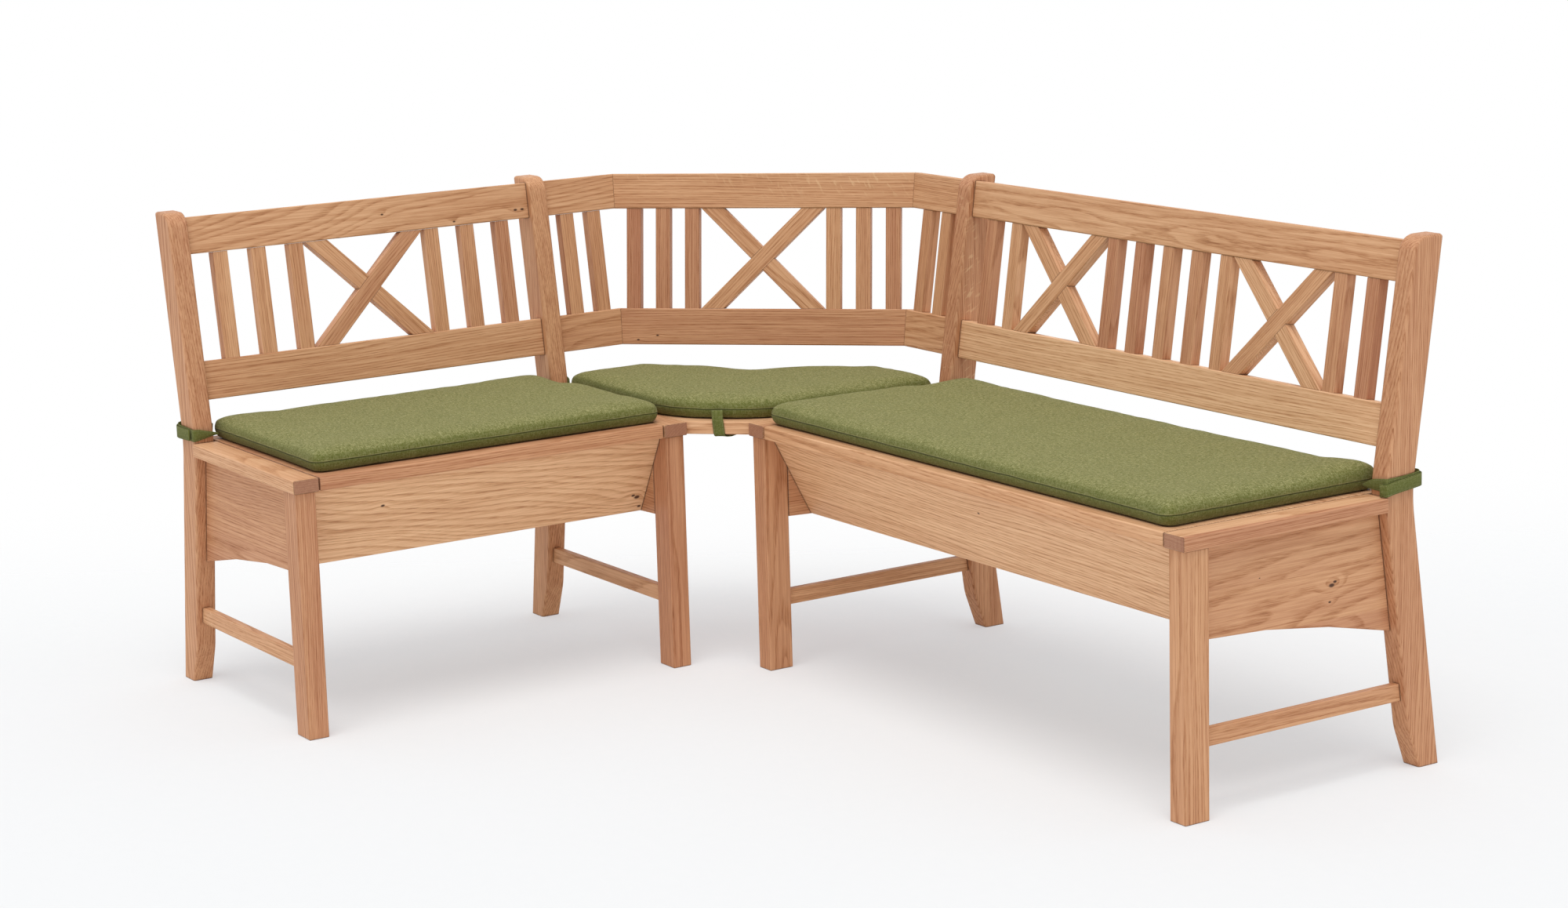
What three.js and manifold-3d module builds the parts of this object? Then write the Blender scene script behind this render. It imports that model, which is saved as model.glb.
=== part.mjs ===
// Corner storage bench, in millimetres, +Z up.
// Two storage benches stand along two walls that meet at a right angle, and a corner module
// without legs fills the place between them.
// Each wing is modelled in its own frame: the wall is the plane y = 0, the seat faces -y, and the
// wing runs along x away from the wall corner at the origin. "Reach" is a distance from the wall,
// so a point with a reach lies at y = -reach. "Station" is a distance from the wall corner along
// the wing, so the left wing, which runs along -x of its frame, has x = -station.
import * as THREE from 'three';
import { mergeVertices } from 'three/addons/utils/BufferGeometryUtils.js';
import Module from 'manifold-3d';

const wasm = await Module();
wasm.setup();

// Sizes of the whole bench
const seatHeight = 465;
const postHeight = 881;
const seatReach = 550;
const cornerFrontGap = 88;
const leftWingLength = 786;
const rightWingLength = 1218;

// Clearances
const jointGap = 0.3;
const lidSideGap = 2.5;
const padGap = 0.3;

// Eased edges
const edgeEase = 1.5;
const boardEase = 1;
const postEase = 4;
const arcSteps = 3;
const postArcSteps = 6;
const postEaseSteps = 2;

// Side frames
const frameWidth = 38;
const legDepth = 50;
const legSetback = 4.5;
const postDepth = 60;
const postKinkReach = 64.7;
const postHeadReach = 3;
const postKinkRadius = 250;
const postHeadFrontRadius = 30;
const postHeadRearRadius = 6;
const footDepth = 43.5;
const footTaperHeight = 68;
const footTaperRadius = 90;
const capWidth = 48;
const capThickness = 24;
const capProud = 1;
const panelThickness = 18;
const archCrownDrop = 177;
const archFootDrop = 229;
const stretcherThickness = 15;
const stretcherDepth = 29;
const stretcherLift = 117;

// Chests
const lidThickness = 24;
const lidRearSetback = 5.3;
const frontBoardThickness = 18;
const frontBoardSetback = 23;
const frontBoardLean = 81;
const backBoardThickness = 18;
const chestFloorThickness = 10;
const chestFloorLift = 10;
const chestDepth = 178;

// Lid hinges
const hingeLength = 60;
const hingeStationShare = 1 / 6;
const knuckleRadius = 3;
const pinRadius = 1.5;
const pinClearance = 0.2;
const leafThickness = 1.5;
const leafWidth = 28;
const knuckleSides = 16;

// Backs: rails and slats lie in planes that lean with the upper part of the posts
const railSetback = 12.1;
const railThickness = 24;
const lowRailLift = 75;
const lowRailWidth = 71;
const topRailWidth = 68;
const topRailDrop = 9.5;
const slatWidth = 29;
const slatThickness = 21;
const slatTenon = 12;
const slatEase = 0.8;
const crossBayWidth = 254;
const crossBarWidth = 32;
const crossBarMargin = 4;
// One letter for each step along the rail: | is a slat, - a gap and X a cross
const leftBackPattern = '-|-|-|X|-|-|-';
const rightBackPattern = '-|-|X|-|-|-|-|X|-|-';
const cornerBackPattern = '|-|-|X|-|-|';

// Corner module
const cornerSideLength = 133.3;
const cornerSideMargin = 12.3;
const cornerMiddleMargin = 3.25;
const cornerSideSlats = 2;
const cornerSeatThickness = 24;
const cornerSeatRearLap = 36.5;
const cornerSeatFrontSetback = 8.2;
const cleatDepth = 30;
const cleatLap = 30;
const cleatSetback = 14;

// Cushions
const padThickness = 38;
const padCrown = 4;
const padEdgeDepth = 22;
const padCornerRadius = 30;
const padRearSetback = 6;
const padCapLap = 21;
const padPostGap = 2.5;
const padNotchLength = 119;
const padNotchTaper = 35;
const leftPadFrontSetback = 16;
const rightPadFrontSetback = 7;
const leftPadEndGap = 2;
const rightPadEndGap = 6;
const cornerPadCapLap = 17;
const cornerPadSideSetback = 13.4;
const cornerPadRearLap = 11.5;
const cornerPadRearDip = 12;
const cornerPadDipRadius = 120;
const cornerPadFrontSetback = 6;
const cornerPadFrontRadius = 220;
const padStep = 62;
// Inset and height at each level of a cushion's side, as shares of its edge depth and thickness:
// it widens from the seat to the belly, is drawn in at the seam and rounds over to the top
const padSideShares = [
  [0.41, 0],
  [0.14, 0.14],
  [0.03, 0.34],
  [0.08, 0.5],
  [0.03, 0.62],
  [0.18, 0.82],
  [0.5, 0.96],
  [1, 1],
];
const padCrownShares = [0.84, 0.6, 0.32];

// Straps
const strapWidth = 22;
const strapThickness = 1.6;
const strapLift = 5;
const strapSlack = 8;
const strapBend = 5;
const strapGap = 0.4;
const cornerStrapTuck = 40;

// Worked-out sizes
const cornerReach = seatReach + cornerFrontGap;
const capOverhang = (capWidth - frameWidth) / 2;
const capUnderside = seatHeight - capThickness;
const lidUnderside = seatHeight - lidThickness;
const boardTop = lidUnderside - jointGap;
const legFrontReach = seatReach - legSetback;
const legRearReach = legFrontReach - legDepth;
const postLowerSlope = postKinkReach / seatHeight;
const postUpperSlope = (postKinkReach - postHeadReach) / (postHeight - seatHeight);
const backLean = Math.atan(postUpperSlope);
const postBend = Math.atan(postLowerSlope) + backLean;
const postKinkLoss = postKinkRadius * (1 / Math.cos(postBend / 2) - 1);
const postSeatReach = postKinkReach + postDepth - postKinkLoss;
const panelCrownHeight = seatHeight - archCrownDrop;
const panelFootHeight = seatHeight - archFootDrop;
const lidRearReach = postKinkReach + lidRearSetback;
const chestFootHeight = seatHeight - chestDepth;
const chestFloorHeight = chestFootHeight + chestFloorLift;
const frontBoardHeadReach = seatReach - frontBoardSetback;
const frontBoardFootReach = frontBoardHeadReach - frontBoardLean;
const frontBoardSlope = frontBoardLean / (boardTop - chestFootHeight);
const backReach = postKinkReach + postDepth - railSetback;
const backLength = Math.hypot(postHeight - seatHeight, postKinkReach - postHeadReach);
const topRailLift = backLength - topRailDrop - topRailWidth;
const slatLength = topRailLift - lowRailLift - lowRailWidth;
const mitreAngle = Math.PI / 8;
const bendStation = cornerReach - cornerSideLength;
const mitreStation = bendStation - backReach * Math.tan(mitreAngle);
const cornerBackReach = (bendStation + backReach) / Math.SQRT2;
const cornerMiddleLength = (bendStation - backReach) * Math.SQRT2;
const cornerSeatRearReach = cornerBackReach - cornerSeatRearLap;
const capFrontReach = seatReach + capProud;
const innerCapReach = (cornerReach - capOverhang + capFrontReach) / Math.SQRT2;
const cornerSeatFrontReach = innerCapReach - cornerSeatFrontSetback;
const padBase = seatHeight + padGap;
const padRearReach = lidRearReach + padRearSetback;
const padNotchReach = padRearReach + padNotchLength;
const cornerPadStation = cornerReach + cornerPadCapLap;
const cornerPadSideReach = backReach + cornerPadSideSetback;
const cornerPadRearReach = cornerBackReach - cornerPadRearLap;
const cornerPadFrontReach = cornerSeatFrontReach - cornerPadFrontSetback;

const xAxis = new THREE.Vector3(1, 0, 0);
const yAxis = new THREE.Vector3(0, 1, 0);
const zAxis = new THREE.Vector3(0, 0, 1);
const axisVectors = { x: xAxis, y: yAxis, z: zAxis };
const sectionAxes = { x: ['y', 'z'], y: ['z', 'x'], z: ['x', 'y'] };

// Materials
function oak() {
  return new THREE.MeshStandardMaterial({ color: 0xc99a70, roughness: 0.55, metalness: 0 });
}

function plywood() {
  return new THREE.MeshStandardMaterial({ color: 0xd8b48a, roughness: 0.7, metalness: 0 });
}

function oliveFabric() {
  return new THREE.MeshStandardMaterial({ color: 0x929060, roughness: 0.95, metalness: 0 });
}

function steel() {
  return new THREE.MeshStandardMaterial({ color: 0xb4b4b0, roughness: 0.35, metalness: 1 });
}

// Adds a named piece to a group
function addPiece(parent, name, geometry, material) {
  const mesh = new THREE.Mesh(geometry, material);
  mesh.name = name;
  parent.add(mesh);
  return mesh;
}

// A closed outline through corners [x, y, radius], each rounded by an arc of its own radius
function roundedOutline(corners) {
  const shape = new THREE.Shape();
  corners.forEach(([x, y, radius = 0], index) => {
    const corner = new THREE.Vector2(x, y);
    const before = corners[(index + corners.length - 1) % corners.length];
    const after = corners[(index + 1) % corners.length];
    const back = new THREE.Vector2(before[0], before[1]).sub(corner).normalize();
    const ahead = new THREE.Vector2(after[0], after[1]).sub(corner).normalize();
    const opening = Math.acos(THREE.MathUtils.clamp(back.dot(ahead), -1, 1));
    const tangent = radius / Math.tan(opening / 2);
    const start = corner.clone().addScaledVector(back, tangent);
    if (index === 0) {
      shape.moveTo(start.x, start.y);
    } else {
      shape.lineTo(start.x, start.y);
    }
    if (radius > 0) {
      const end = corner.clone().addScaledVector(ahead, tangent);
      const inward = back.clone().add(ahead).normalize();
      const centre = corner.clone().addScaledVector(inward, radius / Math.sin(opening / 2));
      const from = Math.atan2(start.y - centre.y, start.x - centre.x);
      const to = Math.atan2(end.y - centre.y, end.x - centre.x);
      const clockwise = back.cross(ahead) > 0;
      shape.absarc(centre.x, centre.y, radius, from, to, clockwise);
    }
  });
  shape.closePath();
  return shape;
}

// Extrudes a section along one axis between two places, with the edges of both ends eased
function extrudeAlong(axis, shape, [low, high], ease, curveSegments = arcSteps, bevelSegments = 1) {
  const geometry = new THREE.ExtrudeGeometry(shape, {
    depth: high - low - 2 * ease,
    bevelEnabled: ease > 0,
    bevelThickness: ease,
    bevelSize: ease,
    bevelOffset: -ease,
    bevelSegments,
    curveSegments,
  });
  geometry.translate(0, 0, low + ease);
  const [first, second] = sectionAxes[axis];
  const basis = new THREE.Matrix4();
  basis.makeBasis(axisVectors[first], axisVectors[second], axisVectors[axis]);
  return geometry.applyMatrix4(basis);
}

// A board or bar between the low and high places on each axis, with its long edges eased
function board(spans, along, ease = boardEase, endEase = 0) {
  const [first, second] = sectionAxes[along];
  const [left, right] = spans[first];
  const [bottom, top] = spans[second];
  const section = new THREE.Shape([
    new THREE.Vector2(left + ease, bottom),
    new THREE.Vector2(right - ease, bottom),
    new THREE.Vector2(right, bottom + ease),
    new THREE.Vector2(right, top - ease),
    new THREE.Vector2(right - ease, top),
    new THREE.Vector2(left + ease, top),
    new THREE.Vector2(left, top - ease),
    new THREE.Vector2(left, bottom + ease),
  ]);
  return extrudeAlong(along, section, spans[along], endEase);
}

// The closed solid inside a geometry, ready to be joined or cut
function solidOf(geometry) {
  const bare = geometry.clone();
  bare.deleteAttribute('normal');
  bare.deleteAttribute('uv');
  const welded = mergeVertices(bare);
  const vertProperties = new Float32Array(welded.attributes.position.array);
  const triVerts = new Uint32Array(welded.index.array);
  return new wasm.Manifold(new wasm.Mesh({ numProp: 3, vertProperties, triVerts }));
}

function geometryOf(solid) {
  const { vertProperties, triVerts } = solid.getMesh();
  const geometry = new THREE.BufferGeometry();
  geometry.setAttribute('position', new THREE.BufferAttribute(vertProperties, 3));
  geometry.setIndex(new THREE.BufferAttribute(triVerts, 1));
  geometry.computeVertexNormals();
  return geometry;
}

function joined(geometries) {
  const solids = geometries.map(solidOf);
  return geometryOf(solids.reduce((whole, solid) => whole.add(solid)));
}

function cut(geometry, cutters) {
  let whole = solidOf(geometry);
  for (const cutter of cutters) {
    whole = whole.subtract(solidOf(cutter));
  }
  return geometryOf(whole);
}

// Places along a wing

// The x span of a wing's frame that lies between two stations
function stationSpan(wing, from, to) {
  return wing.side > 0 ? [from, to] : [-to, -from];
}

// The reach of the straight front face of a post's lower part
function postFrontReach(height) {
  return postDepth + postLowerSlope * height;
}

// Side frame

// The profile runs below the floor by the size of the eased edges, so that the foot can be sawn
// off square
function postOutline() {
  const taperReach = postFrontReach(footTaperHeight);
  return roundedOutline([
    [0, -postEase],
    [-footDepth, -postEase],
    [-taperReach, footTaperHeight, footTaperRadius],
    [-postKinkReach - postDepth, seatHeight, postKinkRadius],
    [-postHeadReach - postDepth, postHeight, postHeadFrontRadius],
    [-postHeadReach, postHeight, postHeadRearRadius],
    [-postKinkReach, seatHeight, postKinkRadius],
  ]);
}

function postGeometry(span) {
  const post = extrudeAlong('x', postOutline(), span, postEase, postArcSteps, postEaseSteps);
  return geometryOf(solidOf(post).trimByPlane([0, 0, 1], 0));
}

function panelOutline() {
  const top = capUnderside - jointGap;
  const front = legRearReach - jointGap;
  const rearFoot = postFrontReach(panelFootHeight) + jointGap;
  const rearHead = postFrontReach(top) + jointGap;
  const shape = new THREE.Shape();
  shape.moveTo(-rearHead, top);
  shape.lineTo(-front, top);
  shape.lineTo(-front, panelCrownHeight);
  shape.quadraticCurveTo(-(front + rearFoot) / 2, panelCrownHeight, -rearFoot, panelFootHeight);
  shape.closePath();
  return shape;
}

function stretcherOutline() {
  const top = stretcherLift + stretcherDepth;
  const front = legRearReach - jointGap;
  return new THREE.Shape([
    new THREE.Vector2(-postFrontReach(stretcherLift) - jointGap, stretcherLift),
    new THREE.Vector2(-front, stretcherLift),
    new THREE.Vector2(-front, top),
    new THREE.Vector2(-postFrontReach(top) - jointGap, top),
  ]);
}

// A side frame whose face nearest the wall corner lies at the given station
function addSideFrame(group, wing, place, station) {
  const name = (piece) => `${wing.name}_${place}_${piece}`;
  const end = station + frameWidth;
  const middle = station + frameWidth / 2;
  const panelStart = place === 'inner' ? end - panelThickness : station;
  const frameSpan = stationSpan(wing, station, end);
  const capSpan = stationSpan(wing, station - capOverhang, end + capOverhang);
  const panelSpan = stationSpan(wing, panelStart, panelStart + panelThickness);
  const halfStretcher = stretcherThickness / 2;
  const stretcherSpan = stationSpan(wing, middle - halfStretcher, middle + halfStretcher);
  const leg = board({
    x: frameSpan,
    y: [-legFrontReach, -legRearReach],
    z: [0, capUnderside - jointGap],
  }, 'z', edgeEase, boardEase);
  const cap = board({
    x: capSpan,
    y: [-capFrontReach, -postSeatReach - jointGap],
    z: [capUnderside, seatHeight],
  }, 'y', edgeEase, boardEase);
  addPiece(group, name('front_leg'), leg, oak());
  addPiece(group, name('rear_post'), postGeometry(frameSpan), oak());
  addPiece(group, name('cap_rail'), cap, oak());
  addPiece(group, name('side_panel'), extrudeAlong('x', panelOutline(), panelSpan, boardEase), oak());
  addPiece(group, name('stretcher'), extrudeAlong('x', stretcherOutline(), stretcherSpan, boardEase), oak());
}

// Chest

// The reach of the front board's inner face at a height
function frontBoardInnerReach(height) {
  const outer = frontBoardFootReach + frontBoardSlope * (height - chestFootHeight);
  return outer - frontBoardThickness * Math.hypot(1, frontBoardSlope);
}

// The reach of the back board's inner face at a height
function backBoardInnerReach(height) {
  return postFrontReach(height) + backBoardThickness * Math.hypot(1, postLowerSlope);
}

function frontBoardOutline() {
  const tilt = Math.atan(frontBoardSlope);
  const footInnerReach = frontBoardFootReach - frontBoardThickness * Math.cos(tilt);
  const footInnerHeight = chestFootHeight + frontBoardThickness * Math.sin(tilt);
  return new THREE.Shape([
    new THREE.Vector2(-frontBoardFootReach, chestFootHeight),
    new THREE.Vector2(-frontBoardHeadReach, boardTop),
    new THREE.Vector2(-frontBoardInnerReach(boardTop), boardTop),
    new THREE.Vector2(-footInnerReach, footInnerHeight),
  ]);
}

function backBoardOutline() {
  return new THREE.Shape([
    new THREE.Vector2(-postFrontReach(chestFootHeight), chestFootHeight),
    new THREE.Vector2(-backBoardInnerReach(chestFootHeight), chestFootHeight),
    new THREE.Vector2(-backBoardInnerReach(boardTop), boardTop),
    new THREE.Vector2(-postFrontReach(boardTop), boardTop),
  ]);
}

function chestFloorOutline() {
  const top = chestFloorHeight + chestFloorThickness;
  const corner = (reach, height) => new THREE.Vector2(-reach, height);
  return new THREE.Shape([
    corner(backBoardInnerReach(chestFloorHeight) + jointGap, chestFloorHeight),
    corner(frontBoardInnerReach(chestFloorHeight) - jointGap, chestFloorHeight),
    corner(frontBoardInnerReach(top) - jointGap, top),
    corner(backBoardInnerReach(top) + jointGap, top),
  ]);
}

function addChest(group, wing) {
  const name = (piece) => `${wing.name}_${piece}`;
  const start = cornerReach + frameWidth;
  const end = cornerReach + wing.length - frameWidth;
  const chestSpan = stationSpan(wing, start + jointGap, end - jointGap);
  const lidMargin = capOverhang + lidSideGap;
  const lid = board({
    x: stationSpan(wing, start + lidMargin, end - lidMargin),
    y: [-seatReach, -lidRearReach],
    z: [lidUnderside, seatHeight],
  }, 'x', edgeEase, edgeEase);
  addPiece(group, name('lid'), lid, oak());
  addPiece(group, name('front_board'), extrudeAlong('x', frontBoardOutline(), chestSpan, 0), oak());
  addPiece(group, name('back_board'), extrudeAlong('x', backBoardOutline(), chestSpan, 0), plywood());
  addPiece(group, name('chest_floor'), extrudeAlong('x', chestFloorOutline(), chestSpan, 0), plywood());
  for (const [index, share] of [hingeStationShare, 1 - hingeStationShare].entries()) {
    const station = start + (end - start) * share;
    addHinge(group, wing, index + 1, station);
  }
}

// Lid hinge: the barrel lies in the corner between the lid's underside and the rear face of the
// back board. The frame leaf with the pin runs down the back board, the lid leaf lies on the lid.

function barrel(radius, span) {
  const section = new THREE.Shape();
  section.absarc(0, 0, radius, 0, 2 * Math.PI, false);
  const geometry = new THREE.ExtrudeGeometry(section, {
    depth: span[1] - span[0],
    bevelEnabled: false,
    curveSegments: knuckleSides / 2,
  });
  geometry.translate(0, 0, span[0]);
  return geometry.applyMatrix4(new THREE.Matrix4().makeBasis(yAxis, zAxis, xAxis));
}

function frameLeafGeometry() {
  const half = hingeLength / 2;
  const knuckle = hingeLength / 6;
  const inner = -knuckleRadius + leafThickness;
  const plate = (span, top) => board({ x: span, y: [-knuckleRadius, inner], z: [-leafWidth, top] }, 'x', 0);
  return joined([
    plate([-half, half], -knuckleRadius - pinClearance),
    plate([-half, -knuckle - pinClearance], 0),
    plate([knuckle + pinClearance, half], 0),
    barrel(knuckleRadius, [-half, -knuckle - pinClearance]),
    barrel(knuckleRadius, [knuckle + pinClearance, half]),
    barrel(pinRadius, [-half, half]),
  ]);
}

function lidLeafGeometry() {
  const half = hingeLength / 2;
  const knuckle = hingeLength / 6;
  const under = knuckleRadius - leafThickness;
  const plate = (span, near) => board({ x: span, y: [near, leafWidth], z: [under, knuckleRadius] }, 'x', 0);
  const leaf = joined([
    plate([-half, half], knuckleRadius + pinClearance),
    plate([-knuckle, knuckle], 0),
    barrel(knuckleRadius, [-knuckle, knuckle]),
  ]);
  return cut(leaf, [barrel(pinRadius + pinClearance, [-half, half])]);
}

function addHinge(group, wing, number, station) {
  const height = lidUnderside - knuckleRadius - jointGap;
  const setback = (knuckleRadius + jointGap) * Math.hypot(1, postLowerSlope);
  const place = new THREE.Vector3(wing.side * station, -postFrontReach(height) + setback, height);
  const frameLeaf = addPiece(group, `${wing.name}_hinge_frame_leaf_${number}`, frameLeafGeometry(), steel());
  frameLeaf.position.copy(place);
  frameLeaf.rotation.x = Math.atan(postLowerSlope);
  const lidLeaf = addPiece(group, `${wing.name}_hinge_lid_leaf_${number}`, lidLeafGeometry(), steel());
  lidLeaf.position.copy(place);
}

// Backs

// Centres of the slats and crosses of a pattern that starts at a place along the rail
function layOut(pattern, start, gap) {
  const widths = { '-': gap, '|': slatWidth, X: crossBayWidth };
  const places = { '-': [], '|': [], X: [] };
  let edge = start;
  for (const letter of pattern) {
    places[letter].push(edge + widths[letter] / 2);
    edge += widths[letter];
  }
  return { slats: places['|'], crosses: places.X, end: edge };
}

function gapToFill(pattern, length) {
  const count = (letter) => pattern.split(letter).length - 1;
  return (length - count('|') * slatWidth - count('X') * crossBayWidth) / count('-');
}

const slatInset = (railThickness - slatThickness) / 2;
const slatSpanY = [slatInset, slatInset + slatThickness];
const railSpanY = [0, railThickness];
const lowRailSpanZ = [lowRailLift, lowRailLift + lowRailWidth];
const topRailSpanZ = [topRailLift, topRailLift + topRailWidth];
const baySpanZ = [lowRailLift + lowRailWidth + jointGap, topRailLift - jointGap];

function rail(spanX, spanZ) {
  return board({ x: spanX, y: railSpanY, z: spanZ }, 'x', edgeEase);
}

function slat(centre) {
  return board({
    x: [centre - slatWidth / 2, centre + slatWidth / 2],
    y: slatSpanY,
    z: [baySpanZ[0] - jointGap - slatTenon, baySpanZ[1]],
  }, 'z', slatEase);
}

// A lower rail with the slats that are glued into it
function lattice(spanX, slats) {
  return joined([rail(spanX, lowRailSpanZ), ...slats.map(slat)]);
}

// Two bars that cross in a bay and are half-lapped where they meet. Each bar ends on the rails over
// its whole width, and keeps a margin to the slat beside it.
function cross(centre) {
  const halfBay = crossBayWidth / 2 - crossBarMargin;
  const diagonal = Math.hypot(2 * halfBay, slatLength);
  const angle = Math.atan2(slatLength, 2 * halfBay) + Math.asin(crossBarWidth / diagonal);
  const halfLength = diagonal / 2 + crossBarWidth;
  const middle = (baySpanZ[0] + baySpanZ[1]) / 2;
  const bar = (turn) => {
    const geometry = board({
      x: [-halfLength, halfLength],
      y: slatSpanY,
      z: [-crossBarWidth / 2, crossBarWidth / 2],
    }, 'x', slatEase);
    geometry.rotateY(turn);
    geometry.translate(centre, 0, middle);
    return solidOf(geometry);
  };
  const bay = board({ x: [centre - halfBay, centre + halfBay], y: railSpanY, z: baySpanZ }, 'x', 0);
  return geometryOf(bar(angle).add(bar(-angle)).intersect(solidOf(bay)));
}

function addWingBack(group, wing) {
  const start = cornerReach + frameWidth;
  const end = cornerReach + wing.length - frameWidth;
  const railSpan = stationSpan(wing, start + jointGap, end - jointGap);
  const patternStart = stationSpan(wing, start, end)[0];
  const { slats, crosses } = layOut(wing.pattern, patternStart, gapToFill(wing.pattern, end - start));
  const back = new THREE.Group();
  back.position.set(0, -backReach, seatHeight);
  back.rotation.x = -backLean;
  group.add(back);
  addPiece(back, `${wing.name}_back_top_rail`, rail(railSpan, topRailSpanZ), oak());
  addPiece(back, `${wing.name}_back_lattice`, lattice(railSpan, slats), oak());
  crosses.forEach((centre, index) => {
    const number = crosses.length > 1 ? `_${index + 1}` : '';
    addPiece(back, `${wing.name}_back_cross${number}`, cross(centre), oak());
  });
}

// Corner module

// Stands a geometry of the back's leaning frame up at its reach from the wall corner
function leaned(geometry, reach) {
  geometry.rotateX(-backLean);
  return geometry.translate(0, -reach, seatHeight);
}

// A block that cuts a rail off at the mitre plane: x is where the plane meets the wall line and
// removed is the side, -1 or 1, that is cut away
function mitreCutter(x, removed) {
  const size = 2 * cornerReach;
  const height = 2 * (seatHeight + backLength);
  const block = new THREE.BoxGeometry(size, size, height);
  block.translate(removed * (size - jointGap) / 2, 0, 0);
  block.rotateZ(-removed * mitreAngle);
  return block.translate(x, 0, 0);
}

function addCornerSideBack(group, wing) {
  const span = stationSpan(wing, mitreStation, cornerReach - jointGap);
  const cutters = [mitreCutter(wing.side * mitreStation, -wing.side)];
  const step = (cornerSideLength - cornerSideMargin) / cornerSideSlats;
  const slats = [];
  for (let index = 1; index <= cornerSideSlats; index += 1) {
    const station = cornerReach - index * step + slatWidth / 2;
    slats.push(wing.side * station);
  }
  const topRail = cut(leaned(rail(span, topRailSpanZ), backReach), cutters);
  const sideLattice = cut(leaned(lattice(span, slats), backReach), cutters);
  addPiece(group, `corner_back_${wing.name}_top_rail`, topRail, oak());
  addPiece(group, `corner_back_${wing.name}_lattice`, sideLattice, oak());
}

function addCornerMiddleBack(group) {
  const span = [-mitreStation, mitreStation];
  const cutters = [mitreCutter(mitreStation, 1), mitreCutter(-mitreStation, -1)];
  const width = cornerMiddleLength - 2 * cornerMiddleMargin;
  const gap = gapToFill(cornerBackPattern, width);
  const { slats, crosses } = layOut(cornerBackPattern, -width / 2, gap);
  const topRail = cut(leaned(rail(span, topRailSpanZ), cornerBackReach), cutters);
  const middleLattice = cut(leaned(lattice(span, slats), cornerBackReach), cutters);
  addPiece(group, 'corner_back_middle_top_rail', topRail, oak());
  addPiece(group, 'corner_back_middle_lattice', middleLattice, oak());
  addPiece(group, 'corner_back_cross', leaned(cross(crosses[0]), cornerBackReach), oak());
}

// The corner seat is drawn in the frame of the right wing: its rear edges follow the two walls
// and the middle back, its sides follow the inner cap rails and its front corner is cut off
function cornerSeatGeometry() {
  const side = cornerReach - capOverhang - jointGap;
  const rear = cornerSeatRearReach * Math.SQRT2 - lidRearReach;
  const front = cornerSeatFrontReach * Math.SQRT2 - side;
  const outline = new THREE.Shape([
    new THREE.Vector2(lidRearReach, -side),
    new THREE.Vector2(front, -side),
    new THREE.Vector2(side, -front),
    new THREE.Vector2(side, -lidRearReach),
    new THREE.Vector2(rear, -lidRearReach),
    new THREE.Vector2(lidRearReach, -rear),
  ]);
  return extrudeAlong('z', outline, [seatHeight - cornerSeatThickness, seatHeight], edgeEase);
}

function addCleat(group, wing) {
  const panelFace = cornerReach + frameWidth - panelThickness - jointGap;
  const top = seatHeight - cornerSeatThickness - jointGap;
  const cleat = board({
    x: stationSpan(wing, cornerReach - cleatLap, panelFace),
    y: [-legRearReach + cleatSetback, -postSeatReach - cleatSetback],
    z: [top - cleatDepth, top],
  }, 'y', boardEase);
  addPiece(group, `corner_seat_${wing.name}_cleat`, cleat, oak());
}

// Cushions

// The points of an outline, with long straight stretches divided into steps
function steppedPoints(shape) {
  const corners = shape.getPoints(arcSteps);
  const loop = corners.filter((point, index) => {
    const next = corners[(index + 1) % corners.length];
    return point.distanceTo(next) > jointGap;
  });
  const points = [];
  loop.forEach((point, index) => {
    const next = loop[(index + 1) % loop.length];
    const steps = Math.ceil(point.distanceTo(next) / padStep);
    for (let step = 0; step < steps; step += 1) {
      points.push(point.clone().lerp(next, step / steps));
    }
  });
  return THREE.ShapeUtils.isClockWise(points) ? points.reverse() : points;
}

// An outline that runs anticlockwise, drawn in by a distance
function insetPoints(points, inset) {
  return points.map((point, index) => {
    const before = points[(index + points.length - 1) % points.length];
    const after = points[(index + 1) % points.length];
    const arriving = point.clone().sub(before).normalize();
    const leaving = after.clone().sub(point).normalize();
    const inward = new THREE.Vector2(-arriving.y - leaving.y, arriving.x + leaving.x).normalize();
    const stretch = inward.x * -leaving.y + inward.y * leaving.x;
    return point.clone().addScaledVector(inward, inset / stretch);
  });
}

// A cushion over an outline: flat below, drawn in at the seam half way up its sides, and crowned
function cushionGeometry(shape, centre) {
  const outline = steppedPoints(shape);
  const rings = padSideShares.map(([insetShare, heightShare]) => {
    const height = padBase + heightShare * padThickness;
    return insetPoints(outline, insetShare * padEdgeDepth).map(({ x, y }) => [x, y, height]);
  });
  const shoulder = rings[rings.length - 1];
  for (const share of padCrownShares) {
    const height = padBase + padThickness + padCrown * (1 - share * share);
    rings.push(shoulder.map(([x, y]) => {
      const point = new THREE.Vector2(x, y).sub(centre).multiplyScalar(share).add(centre);
      return [point.x, point.y, height];
    }));
  }
  const count = outline.length;
  const positions = rings.flat();
  const bottom = positions.push([centre.x, centre.y, padBase]) - 1;
  const top = positions.push([centre.x, centre.y, padBase + padThickness + padCrown]) - 1;
  const faces = [];
  for (let index = 0; index < count; index += 1) {
    const next = (index + 1) % count;
    faces.push(bottom, next, index);
    for (let ring = 0; ring < rings.length - 1; ring += 1) {
      const low = ring * count;
      const high = low + count;
      faces.push(low + index, low + next, high + next);
      faces.push(low + index, high + next, high + index);
    }
    const last = (rings.length - 1) * count;
    faces.push(last + index, last + next, top);
  }
  const geometry = new THREE.BufferGeometry();
  geometry.setAttribute('position', new THREE.Float32BufferAttribute(positions.flat(), 3));
  geometry.setIndex(faces);
  geometry.computeVertexNormals();
  return geometry;
}

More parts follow.
